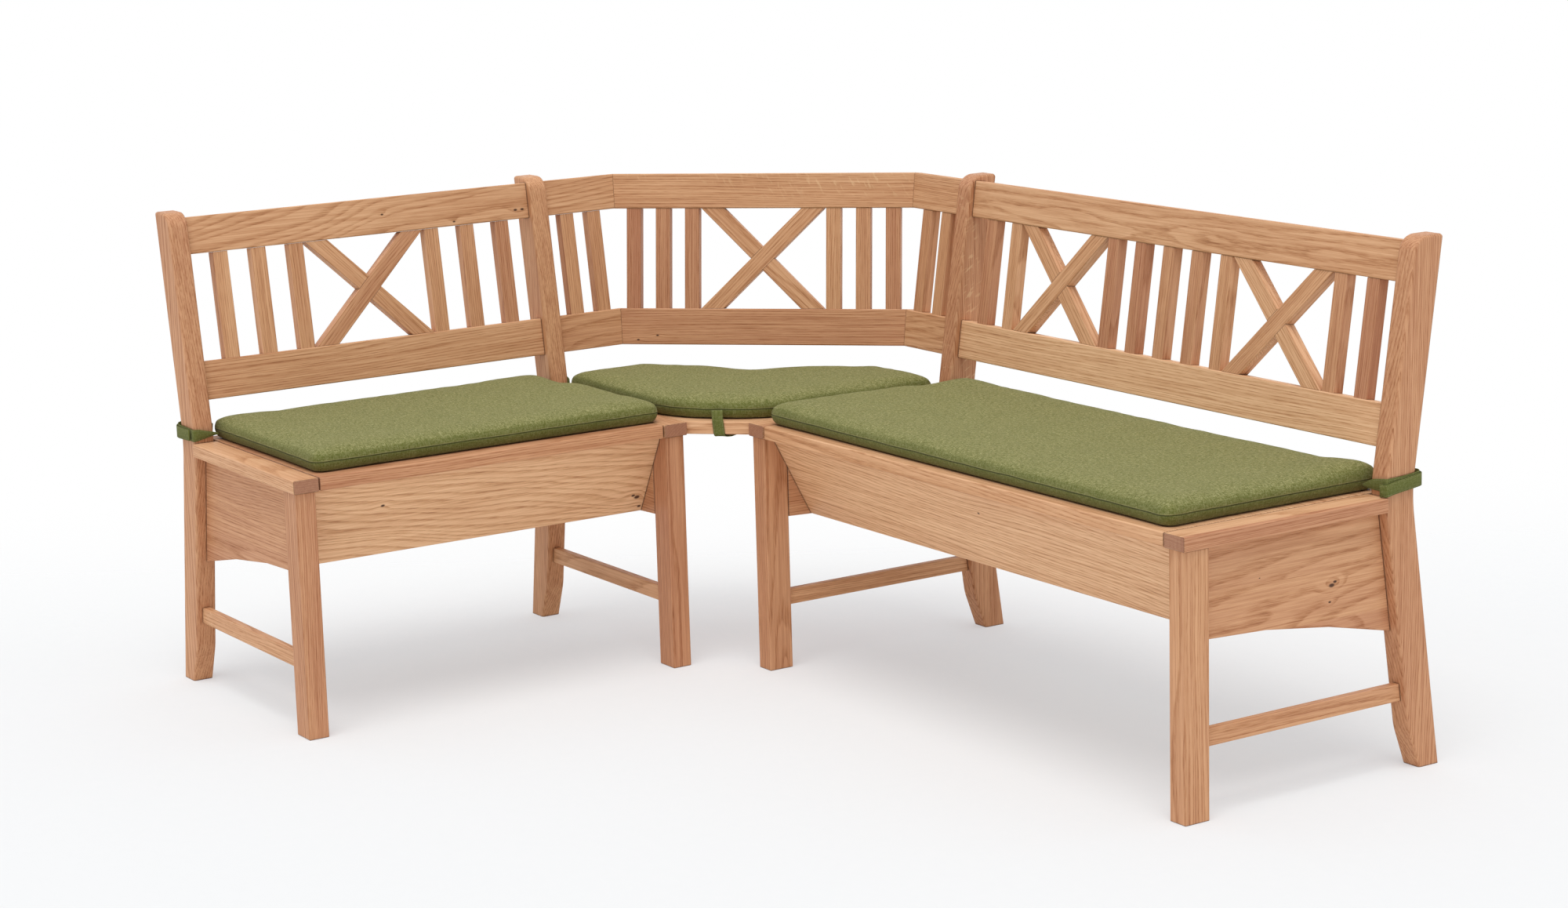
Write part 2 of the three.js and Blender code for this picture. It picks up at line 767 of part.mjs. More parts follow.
// A wing's cushion lies on the lid and half of the inner cap rail, and is cut back beside the
// inner post so that it clears the post while the lid swings up
function addWingCushion(group, wing) {
  const postSide = cornerReach + frameWidth + padPostGap;
  const padStation = cornerReach + padCapLap;
  const padFrontReach = seatReach - wing.padFrontSetback;
  const end = cornerReach + wing.length - frameWidth - wing.padEndGap;
  const corner = (station, reach, radius) => [wing.side * station, -reach, radius];
  const outline = roundedOutline([
    corner(postSide, padRearReach, padCornerRadius),
    corner(postSide, padNotchReach, padCornerRadius),
    corner(padStation, padNotchReach + padNotchTaper, padCornerRadius),
    corner(padStation, padFrontReach, padCornerRadius),
    corner(end, padFrontReach, padCornerRadius),
    corner(end, padRearReach, padCornerRadius),
  ]);
  const middle = new THREE.Vector2(postSide + end, -padRearReach - padFrontReach);
  middle.multiplyScalar(1 / 2);
  middle.x *= wing.side;
  addPiece(group, `${wing.name}_cushion`, cushionGeometry(outline, middle), oliveFabric());
}

// The corner cushion is drawn in a frame turned by an eighth: it faces -y, and both of its halves
// are alike. Its sides lie on the inner cap rails, and its rear edge dips in the middle.
function addCornerCushion(group) {
  const backHalf = cornerPadRearReach - cornerPadSideReach * Math.SQRT2;
  const sideHalf = (cornerPadStation - cornerPadSideReach) / Math.SQRT2;
  const sideReach = (cornerPadStation + cornerPadSideReach) / Math.SQRT2;
  const frontHalf = cornerPadStation * Math.SQRT2 - cornerPadFrontReach;
  const outline = roundedOutline([
    [0, -cornerPadRearReach - cornerPadRearDip, cornerPadDipRadius],
    [-backHalf, -cornerPadRearReach, padCornerRadius],
    [-sideHalf, -sideReach, padCornerRadius],
    [-frontHalf, -cornerPadFrontReach, cornerPadFrontRadius],
    [frontHalf, -cornerPadFrontReach, cornerPadFrontRadius],
    [sideHalf, -sideReach, padCornerRadius],
    [backHalf, -cornerPadRearReach, padCornerRadius],
  ]);
  const middle = new THREE.Vector2(0, -(cornerPadRearReach + cornerPadFrontReach) / 2);
  addPiece(group, 'corner_cushion', cushionGeometry(outline, middle), oliveFabric());
}

// A band that holds the rear outer corner of a wing's cushion to the outer post. It lies close to
// the front and outer faces of the post and hangs slack behind it.
function addPostStrap(group, wing) {
  const start = cornerReach + wing.length - frameWidth - strapGap;
  const low = seatHeight + strapLift;
  const high = low + strapWidth;
  const postRear = postKinkReach - postUpperSlope * (high - seatHeight);
  const inner = {
    side: cornerReach + wing.length + strapGap,
    front: postSeatReach + strapGap,
    rear: postRear - strapSlack,
  };
  const outer = {
    side: inner.side + strapThickness,
    front: inner.front + strapThickness,
    rear: inner.rear - strapThickness,
  };
  const innerBend = strapBend - strapThickness;
  const corner = (station, reach, radius) => [wing.side * station, -reach, radius];
  const outline = roundedOutline([
    corner(start, outer.front),
    corner(outer.side, outer.front, strapBend),
    corner(outer.side, outer.rear, strapBend),
    corner(start, outer.rear),
    corner(start, inner.rear),
    corner(inner.side, inner.rear, innerBend),
    corner(inner.side, inner.front, innerBend),
    corner(start, inner.front),
  ]);
  addPiece(group, `${wing.name}_cushion_strap`, extrudeAlong('z', outline, [low, high], 0), oliveFabric());
}

// The band from the front seam of the corner cushion over the seat's front edge, tucked under it
function addCornerStrap(group) {
  const seamHeight = padBase + padThickness / 2;
  const seamReach = cornerPadFrontReach + strapGap;
  const faceReach = cornerSeatFrontReach + strapGap;
  const underside = seatHeight - cornerSeatThickness - strapGap;
  const outline = new THREE.Shape([
    new THREE.Vector2(-seamReach, seamHeight),
    new THREE.Vector2(-faceReach, seatHeight + strapGap),
    new THREE.Vector2(-faceReach, underside),
    new THREE.Vector2(-faceReach + cornerStrapTuck, underside),
    new THREE.Vector2(-faceReach + cornerStrapTuck, underside - strapThickness),
    new THREE.Vector2(-faceReach - strapThickness, underside - strapThickness),
    new THREE.Vector2(-faceReach - strapThickness, seatHeight + strapThickness),
    new THREE.Vector2(-seamReach - strapThickness, seamHeight + strapThickness),
  ]);
  const span = [-strapWidth / 2, strapWidth / 2];
  addPiece(group, 'corner_cushion_strap', extrudeAlong('x', outline, span, 0), oliveFabric());
}

// Assembly

const wings = [
  {
    name: 'left',
    side: -1,
    turn: Math.PI / 2,
    length: leftWingLength,
    pattern: leftBackPattern,
    padFrontSetback: leftPadFrontSetback,
    padEndGap: leftPadEndGap,
  },
  {
    name: 'right',
    side: 1,
    turn: 0,
    length: rightWingLength,
    pattern: rightBackPattern,
    padFrontSetback: rightPadFrontSetback,
    padEndGap: rightPadEndGap,
  },
];

const bench = new THREE.Group();
for (const wing of wings) {
  const group = new THREE.Group();
  group.rotation.z = wing.turn;
  addSideFrame(group, wing, 'inner', cornerReach);
  addSideFrame(group, wing, 'outer', cornerReach + wing.length - frameWidth);
  addChest(group, wing);
  addWingBack(group, wing);
  addCornerSideBack(group, wing);
  addCleat(group, wing);
  addWingCushion(group, wing);
  addPostStrap(group, wing);
  bench.add(group);
}
const diagonal = new THREE.Group();
diagonal.rotation.z = Math.PI / 4;
addCornerMiddleBack(diagonal);
addCornerCushion(diagonal);
addCornerStrap(diagonal);
bench.add(diagonal);
addPiece(bench, 'corner_seat', cornerSeatGeometry(), oak());

// The origin lies on the floor below the middle of the bench's outer sizes
const reachRight = cornerReach + rightWingLength + capOverhang;
const reachLeft = cornerReach + leftWingLength + capOverhang;
bench.position.set(-reachRight / 2, reachLeft / 2, 0);

export default bench;
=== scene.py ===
import math
import random

import bmesh
import bpy
import numpy as np
from mathutils import Matrix, Vector, noise


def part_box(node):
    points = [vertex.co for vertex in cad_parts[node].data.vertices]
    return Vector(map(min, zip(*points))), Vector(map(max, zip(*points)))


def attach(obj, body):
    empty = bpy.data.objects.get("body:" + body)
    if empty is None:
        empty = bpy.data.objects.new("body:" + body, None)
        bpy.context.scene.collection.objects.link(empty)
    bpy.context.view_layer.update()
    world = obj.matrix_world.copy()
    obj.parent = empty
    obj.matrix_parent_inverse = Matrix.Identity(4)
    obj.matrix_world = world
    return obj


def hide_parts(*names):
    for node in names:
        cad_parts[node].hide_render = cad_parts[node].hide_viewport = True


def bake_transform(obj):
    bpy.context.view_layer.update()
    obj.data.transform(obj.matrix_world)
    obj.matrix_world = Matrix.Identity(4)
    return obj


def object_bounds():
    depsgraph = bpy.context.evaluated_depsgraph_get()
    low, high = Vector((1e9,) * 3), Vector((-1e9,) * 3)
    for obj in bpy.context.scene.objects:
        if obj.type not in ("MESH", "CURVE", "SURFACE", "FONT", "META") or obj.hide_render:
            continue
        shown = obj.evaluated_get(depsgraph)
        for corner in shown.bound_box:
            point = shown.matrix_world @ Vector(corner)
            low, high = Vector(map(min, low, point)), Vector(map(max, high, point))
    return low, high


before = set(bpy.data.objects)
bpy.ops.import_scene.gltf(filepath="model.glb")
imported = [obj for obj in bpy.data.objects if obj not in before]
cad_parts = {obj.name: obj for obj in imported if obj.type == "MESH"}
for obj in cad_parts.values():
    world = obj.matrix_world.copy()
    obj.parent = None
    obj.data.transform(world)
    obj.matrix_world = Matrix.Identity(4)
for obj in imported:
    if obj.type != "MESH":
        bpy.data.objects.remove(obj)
cad_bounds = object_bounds()

# Where the photograph was taken from, and the image that it fills
IMAGE_WIDTH = 2000
SENSOR = 36.0
FOCAL_PIXELS = 4142.0
CAMERA_PLACE = Vector((4.64944, -2.99736, 1.60276))
CAMERA_YAW = math.radians(56.797)
CAMERA_PITCH = math.radians(11.537)
CAMERA_ROLL = math.radians(-1.657)
CAMERA_RANGE = 200

# The wall corner lies as far behind the origin as the bench's outer sides lie in front of it.
# What is read off the model is rounded to 0.1 mm.
WALL_CORNER = Vector((round(-cad_bounds[1].x, 4), round(-cad_bounds[0].y, 4), 0))
SEAT_HEIGHT = round(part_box("corner_seat")[1].z, 4)
INNER_END = round(WALL_CORNER.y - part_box("left_inner_rear_post")[1].y, 4)
LEFT_END = round(WALL_CORNER.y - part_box("left_outer_rear_post")[0].y, 4)
RIGHT_END = round(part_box("right_outer_rear_post")[1].x - WALL_CORNER.x, 4)
# How far a post leans back above the seat, and over which height
POST_LEAN = 0.0617
POST_LEAN_HEIGHT = round(cad_bounds[1].z - SEAT_HEIGHT, 4)
BACK_LEAN = math.atan(POST_LEAN / POST_LEAN_HEIGHT)
LOW_RAIL_WIDTH = 0.071
SLAT_WIDTH = 0.029
BAY_WIDTH = 0.246
BAY_HEIGHT = 0.197
CROSS_BAR_WIDTH = 0.032
POST_REAR_REACH = 0.061

UP = Vector((0, 0, 1))


class Wing:
    """A direction in which the bench runs. "along" points to the right for someone who faces it."""

    def __init__(self, along, forward, side):
        self.along = Vector(along).normalized()
        self.forward = Vector(forward).normalized()
        self.outward = self.along * side
        self.up = UP * math.cos(BACK_LEAN) - self.forward * math.sin(BACK_LEAN)
        self.face = self.forward * math.cos(BACK_LEAN) + UP * math.sin(BACK_LEAN)

    def point(self, station, reach, height):
        return WALL_CORNER + self.outward * station + self.forward * reach + UP * height


LEFT = Wing((0, 1, 0), (1, 0, 0), -1)
RIGHT = Wing((1, 0, 0), (0, -1, 0), 1)
CORNER = Wing((1, 1, 0), (1, -1, 0), 1)


class Tree:
    """The nodes of a material or of the world. A method adds nodes and returns what comes out."""

    def __init__(self, name, world=False):
        self.owner = (bpy.data.worlds if world else bpy.data.materials).new(name)
        self.owner.use_nodes = True
        self.nodes = self.owner.node_tree.nodes
        self.links = self.owner.node_tree.links
        self.nodes.clear()
        self.output = self.nodes.new("ShaderNodeOutputWorld" if world else "ShaderNodeOutputMaterial")

    def feed(self, socket, value):
        if isinstance(value, bpy.types.NodeSocket):
            self.links.new(value, socket)
        elif value is not None:
            socket.default_value = value

    def add(self, kind, *values, **settings):
        """A node with its settings made and its first sockets fed."""
        node = self.nodes.new(f"ShaderNode{kind}")
        for name, setting in settings.items():
            setattr(node, name, setting)
        for socket, value in zip(node.inputs, values):
            self.feed(socket, value)
        return node

    def coordinates(self, kind):
        return self.add("TexCoord").outputs[kind]

    def math(self, operation, *values, clamp=False):
        return self.add("Math", *values, operation=operation, use_clamp=clamp).outputs[0]

    def vector(self, operation, *values):
        node = self.add("VectorMath", *values, operation=operation)
        scalar = operation in ("DOT_PRODUCT", "LENGTH", "DISTANCE")
        return node.outputs["Value" if scalar else "Vector"]

    def place_along(self, direction):
        return self.vector("DOT_PRODUCT", self.coordinates("Object"), tuple(direction))

    def split(self, vector):
        return self.add("SeparateXYZ", vector).outputs[:3]

    def join(self, x, y, z):
        return self.add("CombineXYZ", x, y, z).outputs[0]

    def turned(self, vector, rotation, shift):
        node = self.add("Mapping", vector, vector_type="POINT")
        node.inputs["Rotation"].default_value = rotation.to_euler("XYZ")
        node.inputs["Location"].default_value = shift
        return node.outputs[0]

    def noise(self, vector, stretch, detail=2.0, roughness=0.5):
        node = self.add("TexNoise", self.vector("MULTIPLY", vector, stretch))
        node.inputs["Scale"].default_value = 1.0
        node.inputs["Detail"].default_value = detail
        node.inputs["Roughness"].default_value = roughness
        return node.outputs["Fac"]

    def lot(self, value):
        """A colour drawn by lot for each value."""
        return self.add("TexWhiteNoise", None, value, noise_dimensions="1D").outputs["Color"]

    def remap(self, value, low, high, to_low=0.0, to_high=1.0, smooth=False):
        kind = "SMOOTHSTEP" if smooth else "LINEAR"
        node = self.add("MapRange", value, low, high, to_low, to_high, interpolation_type=kind)
        return node.outputs[0]

    def ramp(self, value, stops, constant=False):
        node = self.add("ValToRGB", value)
        ramp = node.color_ramp
        ramp.interpolation = "CONSTANT" if constant else "LINEAR"
        while len(ramp.elements) < len(stops):
            ramp.elements.new(0.5)
        for element, (place, _) in zip(ramp.elements, stops):
            element.position = place
        for element, (_, shade) in zip(ramp.elements, stops):
            colour = shade if hasattr(shade, "__len__") else (shade, shade, shade)
            element.color = (*colour, 1.0)
        return node.outputs["Color"]

    def mix(self, factor, first, second, blend="MIX"):
        node = self.add("Mix", factor, data_type="RGBA", blend_type=blend)
        for socket, given in zip(node.inputs[6:8], (first, second)):
            self.feed(socket, (*given, 1.0) if isinstance(given, tuple) else given)
        return node.outputs[2]

    def choose(self, factor, first, second):
        """The first vector where the factor is 0, and the second where it is 1."""
        return self.add("Mix", factor, None, None, None, first, second, data_type="VECTOR").outputs[1]

    def number(self, factor, first, second):
        """The first number where the factor is 0, and the second where it is 1."""
        return self.add("Mix", factor, None, first, second, data_type="FLOAT").outputs[0]

    def seen(self):
        """1 where a ray comes from the camera, a polished surface or glass, and 0 for light."""
        rays = self.add("LightPath").outputs
        mirrored = self.math("MAXIMUM", rays["Is Camera Ray"], rays["Is Glossy Ray"])
        return self.math("MAXIMUM", mirrored, rays["Is Transmission Ray"])

    def blended(self, share, first, second):
        """The first shader where the share is 0, and the second where it is 1."""
        return self.add("MixShader", share, first, second).outputs[0]

    def softened(self, radius):
        """The normal as if the edges were rounded, and how near an edge is."""
        rounded_normal = self.add("Bevel", radius, samples=6).outputs[0]
        straight = self.add("NewGeometry").outputs["Normal"]
        bent = self.vector("DOT_PRODUCT", rounded_normal, straight)
        return rounded_normal, self.remap(bent, 0.80, 0.995, 1.0, 0.0)

    def crease_shade(self, distance):
        """Painted shade in the corners where boards meet."""
        node = self.add("AmbientOcclusion", None, distance, samples=5)
        return self.remap(node.outputs["AO"], 0.50, 0.92, 0.60, 0.0)

    def bump(self, height, distance, strength=1.0, normal=None):
        node = self.add("Bump", strength, distance)
        self.feed(node.inputs["Height"], height)
        self.feed(node.inputs["Normal"], normal)
        return node.outputs[0]

    def finish(self, colour, roughness, normal, **constants):
        shader = self.add("BsdfPrincipled")
        self.feed(shader.inputs["Base Color"], colour)
        self.feed(shader.inputs["Roughness"], roughness)
        self.feed(shader.inputs["Normal"], normal)
        for name, value in constants.items():
            shader.inputs[name.replace("_", " ")].default_value = value
        self.links.new(shader.outputs[0], self.output.inputs[0])
        return self.owner


# Oak: sawn out of a log whose year rings run along the board
OAK_TONES = ((0.0, (0.905, 0.585, 0.350)), (0.5, (0.725, 0.405, 0.222)), (1.0, (0.560, 0.262, 0.148)))
OAK_STAINS = ((0.0, (1.0, 1.0, 1.0)), (0.5, (0.70, 0.59, 0.50)), (1.0, (0.38, 0.26, 0.19)))
OAK_END_GRAIN = (0.330, 0.150, 0.092)
KNOT_COLOUR = (0.085, 0.036, 0.020)
# Dark joint lines, also used for the painted shade in creases
JOINT_LINE_AND_SHADE_COLOUR = (0.100, 0.046, 0.028)
# Pale oak for the flecks, and for the lighter edges: partly rubbed, partly a painted highlight
FLECK_WEAR_AND_HIGHLIGHT_COLOUR = (0.820, 0.560, 0.320)
EARLY_WOOD = ((0.0, 0.0), (0.10, 1.0), (0.34, 0.60), (0.50, 0.10), (1.0, 0.0))
# How fast each part of the figure changes along, across and through a board
SWAY = (2.0, 8.0, 8.0)
RIPPLE = (9.0, 50.0, 50.0)
DASHES = (38.0, 800.0, 800.0)
STREAKS = (3.5, 170.0, 170.0)
FIBRE = (8.0, 620.0, 620.0)
BROAD = (1.5, 15.0, 15.0)
FLECKS = (150.0, 42.0, 42.0)
FLECK_PATCHES = (2.5, 22.0, 22.0)
# Ways of sawing: ranges of how far the board's middle is beside the heart of the log and in front
# of it, of its slant in the log and of the ring width, then the sway of the rings and their stain
PLAIN_CUT = ((-0.03, 0.03), (0.045, 0.080), (0.0, 0.03), (0.0034, 0.0052), 0.024, 0.20)
WIDE_CUT = ((-0.03, 0.03), (0.045, 0.080), (0.06, 0.09), (0.0055, 0.0070), 0.050, 0.22)
FLECKED_CUT = ((0.10, 0.16), (0.02, 0.03), (0.0, 0.03), (0.0034, 0.0052), 0.024, 0.20)
RIPPLE_SIZE = 0.003
# Rounding of the edges, reach of the shade in corners, and where the line at a joint starts and is full
BOARD_EDGE = 0.0014
POST_EDGE = 0.0035
CREASE = 0.003
JOINT_LINE = 0.0014
JOINT_LINE_FULL = 0.0005
LAP_LINE = 0.0005

# Shade of each board in the photograph, from 0, pale yellow, to 1, dark red
OAK_SHADES = {
    "left_front_board": 0.00,
    "right_front_board": 0.08,
    "left_lid": 0.72,
    "right_lid": 0.30,
    "left_back_top_rail": 0.40,
    "left_back_lattice": 0.46,
    "right_back_top_rail": 0.40,
    "right_back_lattice": 0.04,
    "corner_back_left_top_rail": 0.48,
    "corner_back_middle_top_rail": 0.48,
    "corner_back_right_top_rail": 0.44,
    "corner_back_left_lattice": 0.50,
    "corner_back_middle_lattice": 0.66,
    "corner_back_right_lattice": 0.46,
    "left_outer_front_leg": 0.82,
    "left_inner_front_leg": 0.80,
    "right_inner_front_leg": 0.76,
    "right_outer_front_leg": 0.58,
    "left_outer_rear_post": 0.66,
    "left_inner_rear_post": 0.56,
    "right_inner_rear_post": 0.74,
    "right_outer_rear_post": 0.74,
    "left_outer_side_panel": 0.70,
    "right_outer_side_panel": 0.62,
    "left_outer_cap_rail": 0.46,
    "right_outer_cap_rail": 0.26,
    "corner_seat": 0.20,
}
# How much darker the outer side of a rail is than its top, and where off its middle that begins
DARK_SIDES = {"right_outer_cap_rail": 0.65, "right_inner_cap_rail": 0.30}
DARK_SIDE_RANGE = (0.014, 0.018)
# Boards that show a wide figure, and boards sawn towards the heart, which show bright flecks
WIDE_FIGURE = ("front_board", "left_back_top_rail")
FLECKED = ("corner_back_middle_top_rail", "right_inner_rear_post", "left_outer_stretcher")
# Widths of the strips that wide boards are glued up from
STRIPS = {"side_panel": 0.082, "lid": 0.085, "corner_seat": 0.085}
# Pin knots: station, reach, height and size
KNOTS = {
    "left_front_board": (
        (1.236, 0.527, 0.390, 0.004),
        (0.694, 0.527, 0.327, 0.006),
        (0.684, 0.527, 0.308, 0.004),
        (0.703, 0.527, 0.331, 0.004),
    ),
    "left_back_top_rail": (
        (0.705, 0.060, 0.822, 0.004),
        (0.690, 0.060, 0.822, 0.004),
        (0.990, 0.060, 0.840, 0.003),
        (0.840, 0.060, 0.812, 0.003),
    ),
    "right_outer_side_panel": (
        (RIGHT_END, 0.222, 0.333, 0.006),
        (RIGHT_END, 0.215, 0.338, 0.004),
        (RIGHT_END, 0.226, 0.306, 0.003),
        (RIGHT_END, 0.375, 0.369, 0.0016),
    ),
    "corner_back_middle_lattice": ((-0.211, 0.423, 0.557, 0.003), (-0.250, 0.423, 0.548, 0.003)),
    "right_front_board": ((1.273, 0.522, 0.399, 0.003),),
}


def grain_rotation(grain, across):
    """Turns the model's frame into a board's own: along the grain, across the face, through it."""
    grain = grain.normalized()
    across = (across - grain * across.dot(grain)).normalized()
    return Matrix((grain, across, grain.cross(across)))


def strip_shift(tree, place, width, rng):
    """Moves each strip of a glued-up board to a part of the log of its own."""
    _, across, _ = tree.split(place)
    across = tree.math("ADD", across, width * rng.random())
    number = tree.math("FLOOR", tree.math("DIVIDE", across, width))
    lot = tree.lot(tree.math("ADD", number, rng.uniform(0, 50)))
    shift = tree.vector("MULTIPLY", tree.vector("SUBTRACT", lot, (0.5, -0.6, 0.5)), (6.0, 0.10, 0.04))
    return tree.vector("ADD", place, shift), tree.split(lot)[0]


def knot_masks(tree, place, radius, knots):
    """Bends the rings round the knots, and tells where their dark cores are."""
    stretched = tree.vector("MULTIPLY", place, (0.55, 1.0, 0.0))
    mask = 0.0
    for (x, y, _), size in knots:
        away = tree.vector("DISTANCE", stretched, (x * 0.55, y, 0.0))
        swell = tree.remap(away, 0.0, size * 4.0, 1.0, 0.0, smooth=True)
        radius = tree.math("MULTIPLY_ADD", swell, size * 0.8, radius)
        core = tree.remap(away, size * 0.30, size * 0.75, 1.0, 0.0, smooth=True)
        mask = tree.math("MAXIMUM", mask, core)
    return radius, mask


def oak_figure(tree, place, node, rng, shade, knots):
    """Colour, roughness and height of oak at a place in the board's own frame."""
    unshifted = place
    width = next((width for ending, width in STRIPS.items() if node.endswith(ending)), None)
    if width:
        place, lot = strip_shift(tree, place, width, rng)
        shade = tree.math("MULTIPLY_ADD", tree.math("SUBTRACT", lot, 0.5), 0.35, shade)
    along, across, through = tree.split(place)
    flecked = node in FLECKED
    cut = FLECKED_CUT if flecked else WIDE_CUT if node.endswith(WIDE_FIGURE) else PLAIN_CUT
    hearts, depths, slants, ring_widths, sway_size, ring_stain = cut
    heart = rng.uniform(*hearts)
    depth = rng.uniform(*depths)
    beside = tree.math("SUBTRACT", across, heart)
    beside = tree.math("MULTIPLY_ADD", along, rng.uniform(-0.02, 0.02), beside)
    slant = rng.choice((-1, 1)) * rng.uniform(*slants)
    inward = tree.math("MULTIPLY_ADD", along, slant, tree.math("SUBTRACT", through, depth))
    radius = tree.vector("LENGTH", tree.join(beside, inward, 0.0))
    radius = tree.math("MULTIPLY_ADD", tree.noise(place, SWAY, 1.0), sway_size, radius)
    radius = tree.math("MULTIPLY_ADD", tree.noise(place, RIPPLE, 2.0), RIPPLE_SIZE, radius)
    radius, knot_mask = knot_masks(tree, unshifted, radius, knots)
    uneven = tree.noise(tree.join(radius, 0.0, 0.0), (60.0, 1.0, 1.0), 1.0)
    rings = tree.math("DIVIDE", radius, rng.uniform(*ring_widths))
    rings = tree.math("MULTIPLY_ADD", uneven, 3.0, rings)
    early = tree.ramp(tree.math("FRACT", rings), EARLY_WOOD)
    dashes = tree.remap(tree.noise(place, DASHES, 2.0), 0.42, 0.64)
    streaks = tree.noise(place, STREAKS, 3.0, 0.6)
    fibre = tree.noise(place, FIBRE, 3.0, 0.65)
    broad = tree.noise(place, BROAD, 1.0)
    if node in DARK_SIDES:
        shade = tree.math("ADD", shade, tree.remap(across, *DARK_SIDE_RANGE, 0.0, DARK_SIDES[node]))
    # Shade of the board, and over it the stain of early wood, pores and fibres
    shade = tree.math("MULTIPLY_ADD", tree.math("SUBTRACT", broad, 0.5), 0.50, shade)
    shade = tree.math("MULTIPLY_ADD", tree.math("SUBTRACT", streaks, 0.5), 0.45, shade)
    colour = tree.ramp(shade, OAK_TONES)
    stain = tree.math("MULTIPLY", early, tree.math("MULTIPLY_ADD", dashes, 0.30, ring_stain))
    stain = tree.math("MULTIPLY_ADD", dashes, 0.08, stain)
    stain = tree.math("ADD", stain, tree.remap(streaks, 0.45, 0.70, 0.0, 0.20))
    stain = tree.math("ADD", stain, tree.remap(fibre, 0.40, 0.70, 0.0, 0.28), clamp=True)
    colour = tree.mix(1.0, colour, tree.ramp(stain, OAK_STAINS), "MULTIPLY")
    if flecked:
        slanted = tree.join(tree.math("MULTIPLY_ADD", across, 0.55, along), across, through)
        fleck = tree.remap(tree.noise(slanted, FLECKS, 2.0), 0.58, 0.66)
        patch = tree.remap(tree.noise(place, FLECK_PATCHES, 1.0), 0.45, 0.62, 0.0, 0.45)
        colour = tree.mix(tree.math("MULTIPLY", fleck, patch), colour, FLECK_WEAR_AND_HIGHLIGHT_COLOUR)
    colour = tree.mix(knot_mask, colour, KNOT_COLOUR)
    height = tree.math("MULTIPLY_ADD", stain, -1.0, 1.0)
    roughness = tree.remap(stain, 0.0, 1.0, 0.44, 0.66)
    return colour, roughness, height


def end_lines(tree, node, grain):
    """The dark lines where the two ends of a board meet other boards."""
    points = np.array([vertex.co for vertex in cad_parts[node].data.vertices]) @ np.array(grain)
    middle, half = (points.min() + points.max()) / 2, (points.max() - points.min()) / 2
    place = tree.place_along(grain)
    away = tree.math("ABSOLUTE", tree.math("SUBTRACT", place, middle))
    return tree.remap(away, half - JOINT_LINE, half - JOINT_LINE_FULL, 0.0, 0.65)


def oak_material(
    node, place_of, rng, shade, knots=(), line_of=None, grain=None, end_grain=False, edge=BOARD_EDGE
):
    """Oak with the dark lines where boards meet, end grain, painted shade in creases, and lighter edges
    that are partly rubbed and partly a painted highlight.
    """
    tree = Tree(f"oak_{node}")
    place, shade = place_of(tree, shade)
    colour, roughness, height = oak_figure(tree, place, node, rng, shade, knots)
    if grain is not None:
        facing = tree.vector("DOT_PRODUCT", tree.coordinates("Normal"), tuple(grain))
        facing = tree.remap(tree.math("ABSOLUTE", facing), 0.80, 0.95)
        line = tree.math("MULTIPLY", end_lines(tree, node, grain), tree.math("SUBTRACT", 1.0, facing))
        colour = tree.mix(line, colour, JOINT_LINE_AND_SHADE_COLOUR)
        if end_grain:
            share = tree.math("MULTIPLY", facing, tree.remap(height, 0.4, 1.0, 0.95, 0.75))
            colour = tree.mix(share, colour, OAK_END_GRAIN)
    if line_of is not None:
        colour = tree.mix(line_of(tree), colour, KNOT_COLOUR)
    # Painted shade in the creases where boards meet
    colour = tree.mix(tree.crease_shade(CREASE), colour, JOINT_LINE_AND_SHADE_COLOUR)
    # Lighter edges near the rounding: partly rubbed, partly a painted highlight
    normal, edge_nearness = tree.softened(edge)
    wear_and_highlight = tree.math("MULTIPLY", edge_nearness, tree.remap(height, 0.3, 1.0, 0.05, 0.30))
    colour = tree.mix(wear_and_highlight, colour, FLECK_WEAR_AND_HIGHLIGHT_COLOUR)
    normal = tree.bump(height, 0.00030, 0.6, normal)
    return tree.finish(colour, roughness, normal, Specular_IOR_Level=0.25)


def board_place(node, grain, across, rng):
    """The place in a board whose grain runs one way."""
    low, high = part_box(node)
    rotation = grain_rotation(grain, across)
    shift = Vector((rng.uniform(-30, 30), 0, 0)) - rotation @ ((low + high) / 2)

    def place_of(tree, shade):
        return tree.turned(tree.coordinates("Object"), rotation, shift), shade

    return place_of, rotation, shift


def slat_edges(node, wing):
    """Where one slat of a lattice ends and the next begins, its ends, its rail's top and its middle."""
    points = np.array([vertex.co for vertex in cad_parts[node].data.vertices])
    heights = points @ np.array(wing.up)
    stations = points @ np.array(wing.along)
    tops = np.sort(stations[heights > heights.max() - 0.002])
    edges = [(a + b) / 2 for a, b in zip(tops, tops[1:]) if b - a > SLAT_WIDTH + 0.0005]
    rail_top = heights.min() + LOW_RAIL_WIDTH
    return edges, stations.min(), stations.max(), rail_top, Vector(points.mean(axis=0))


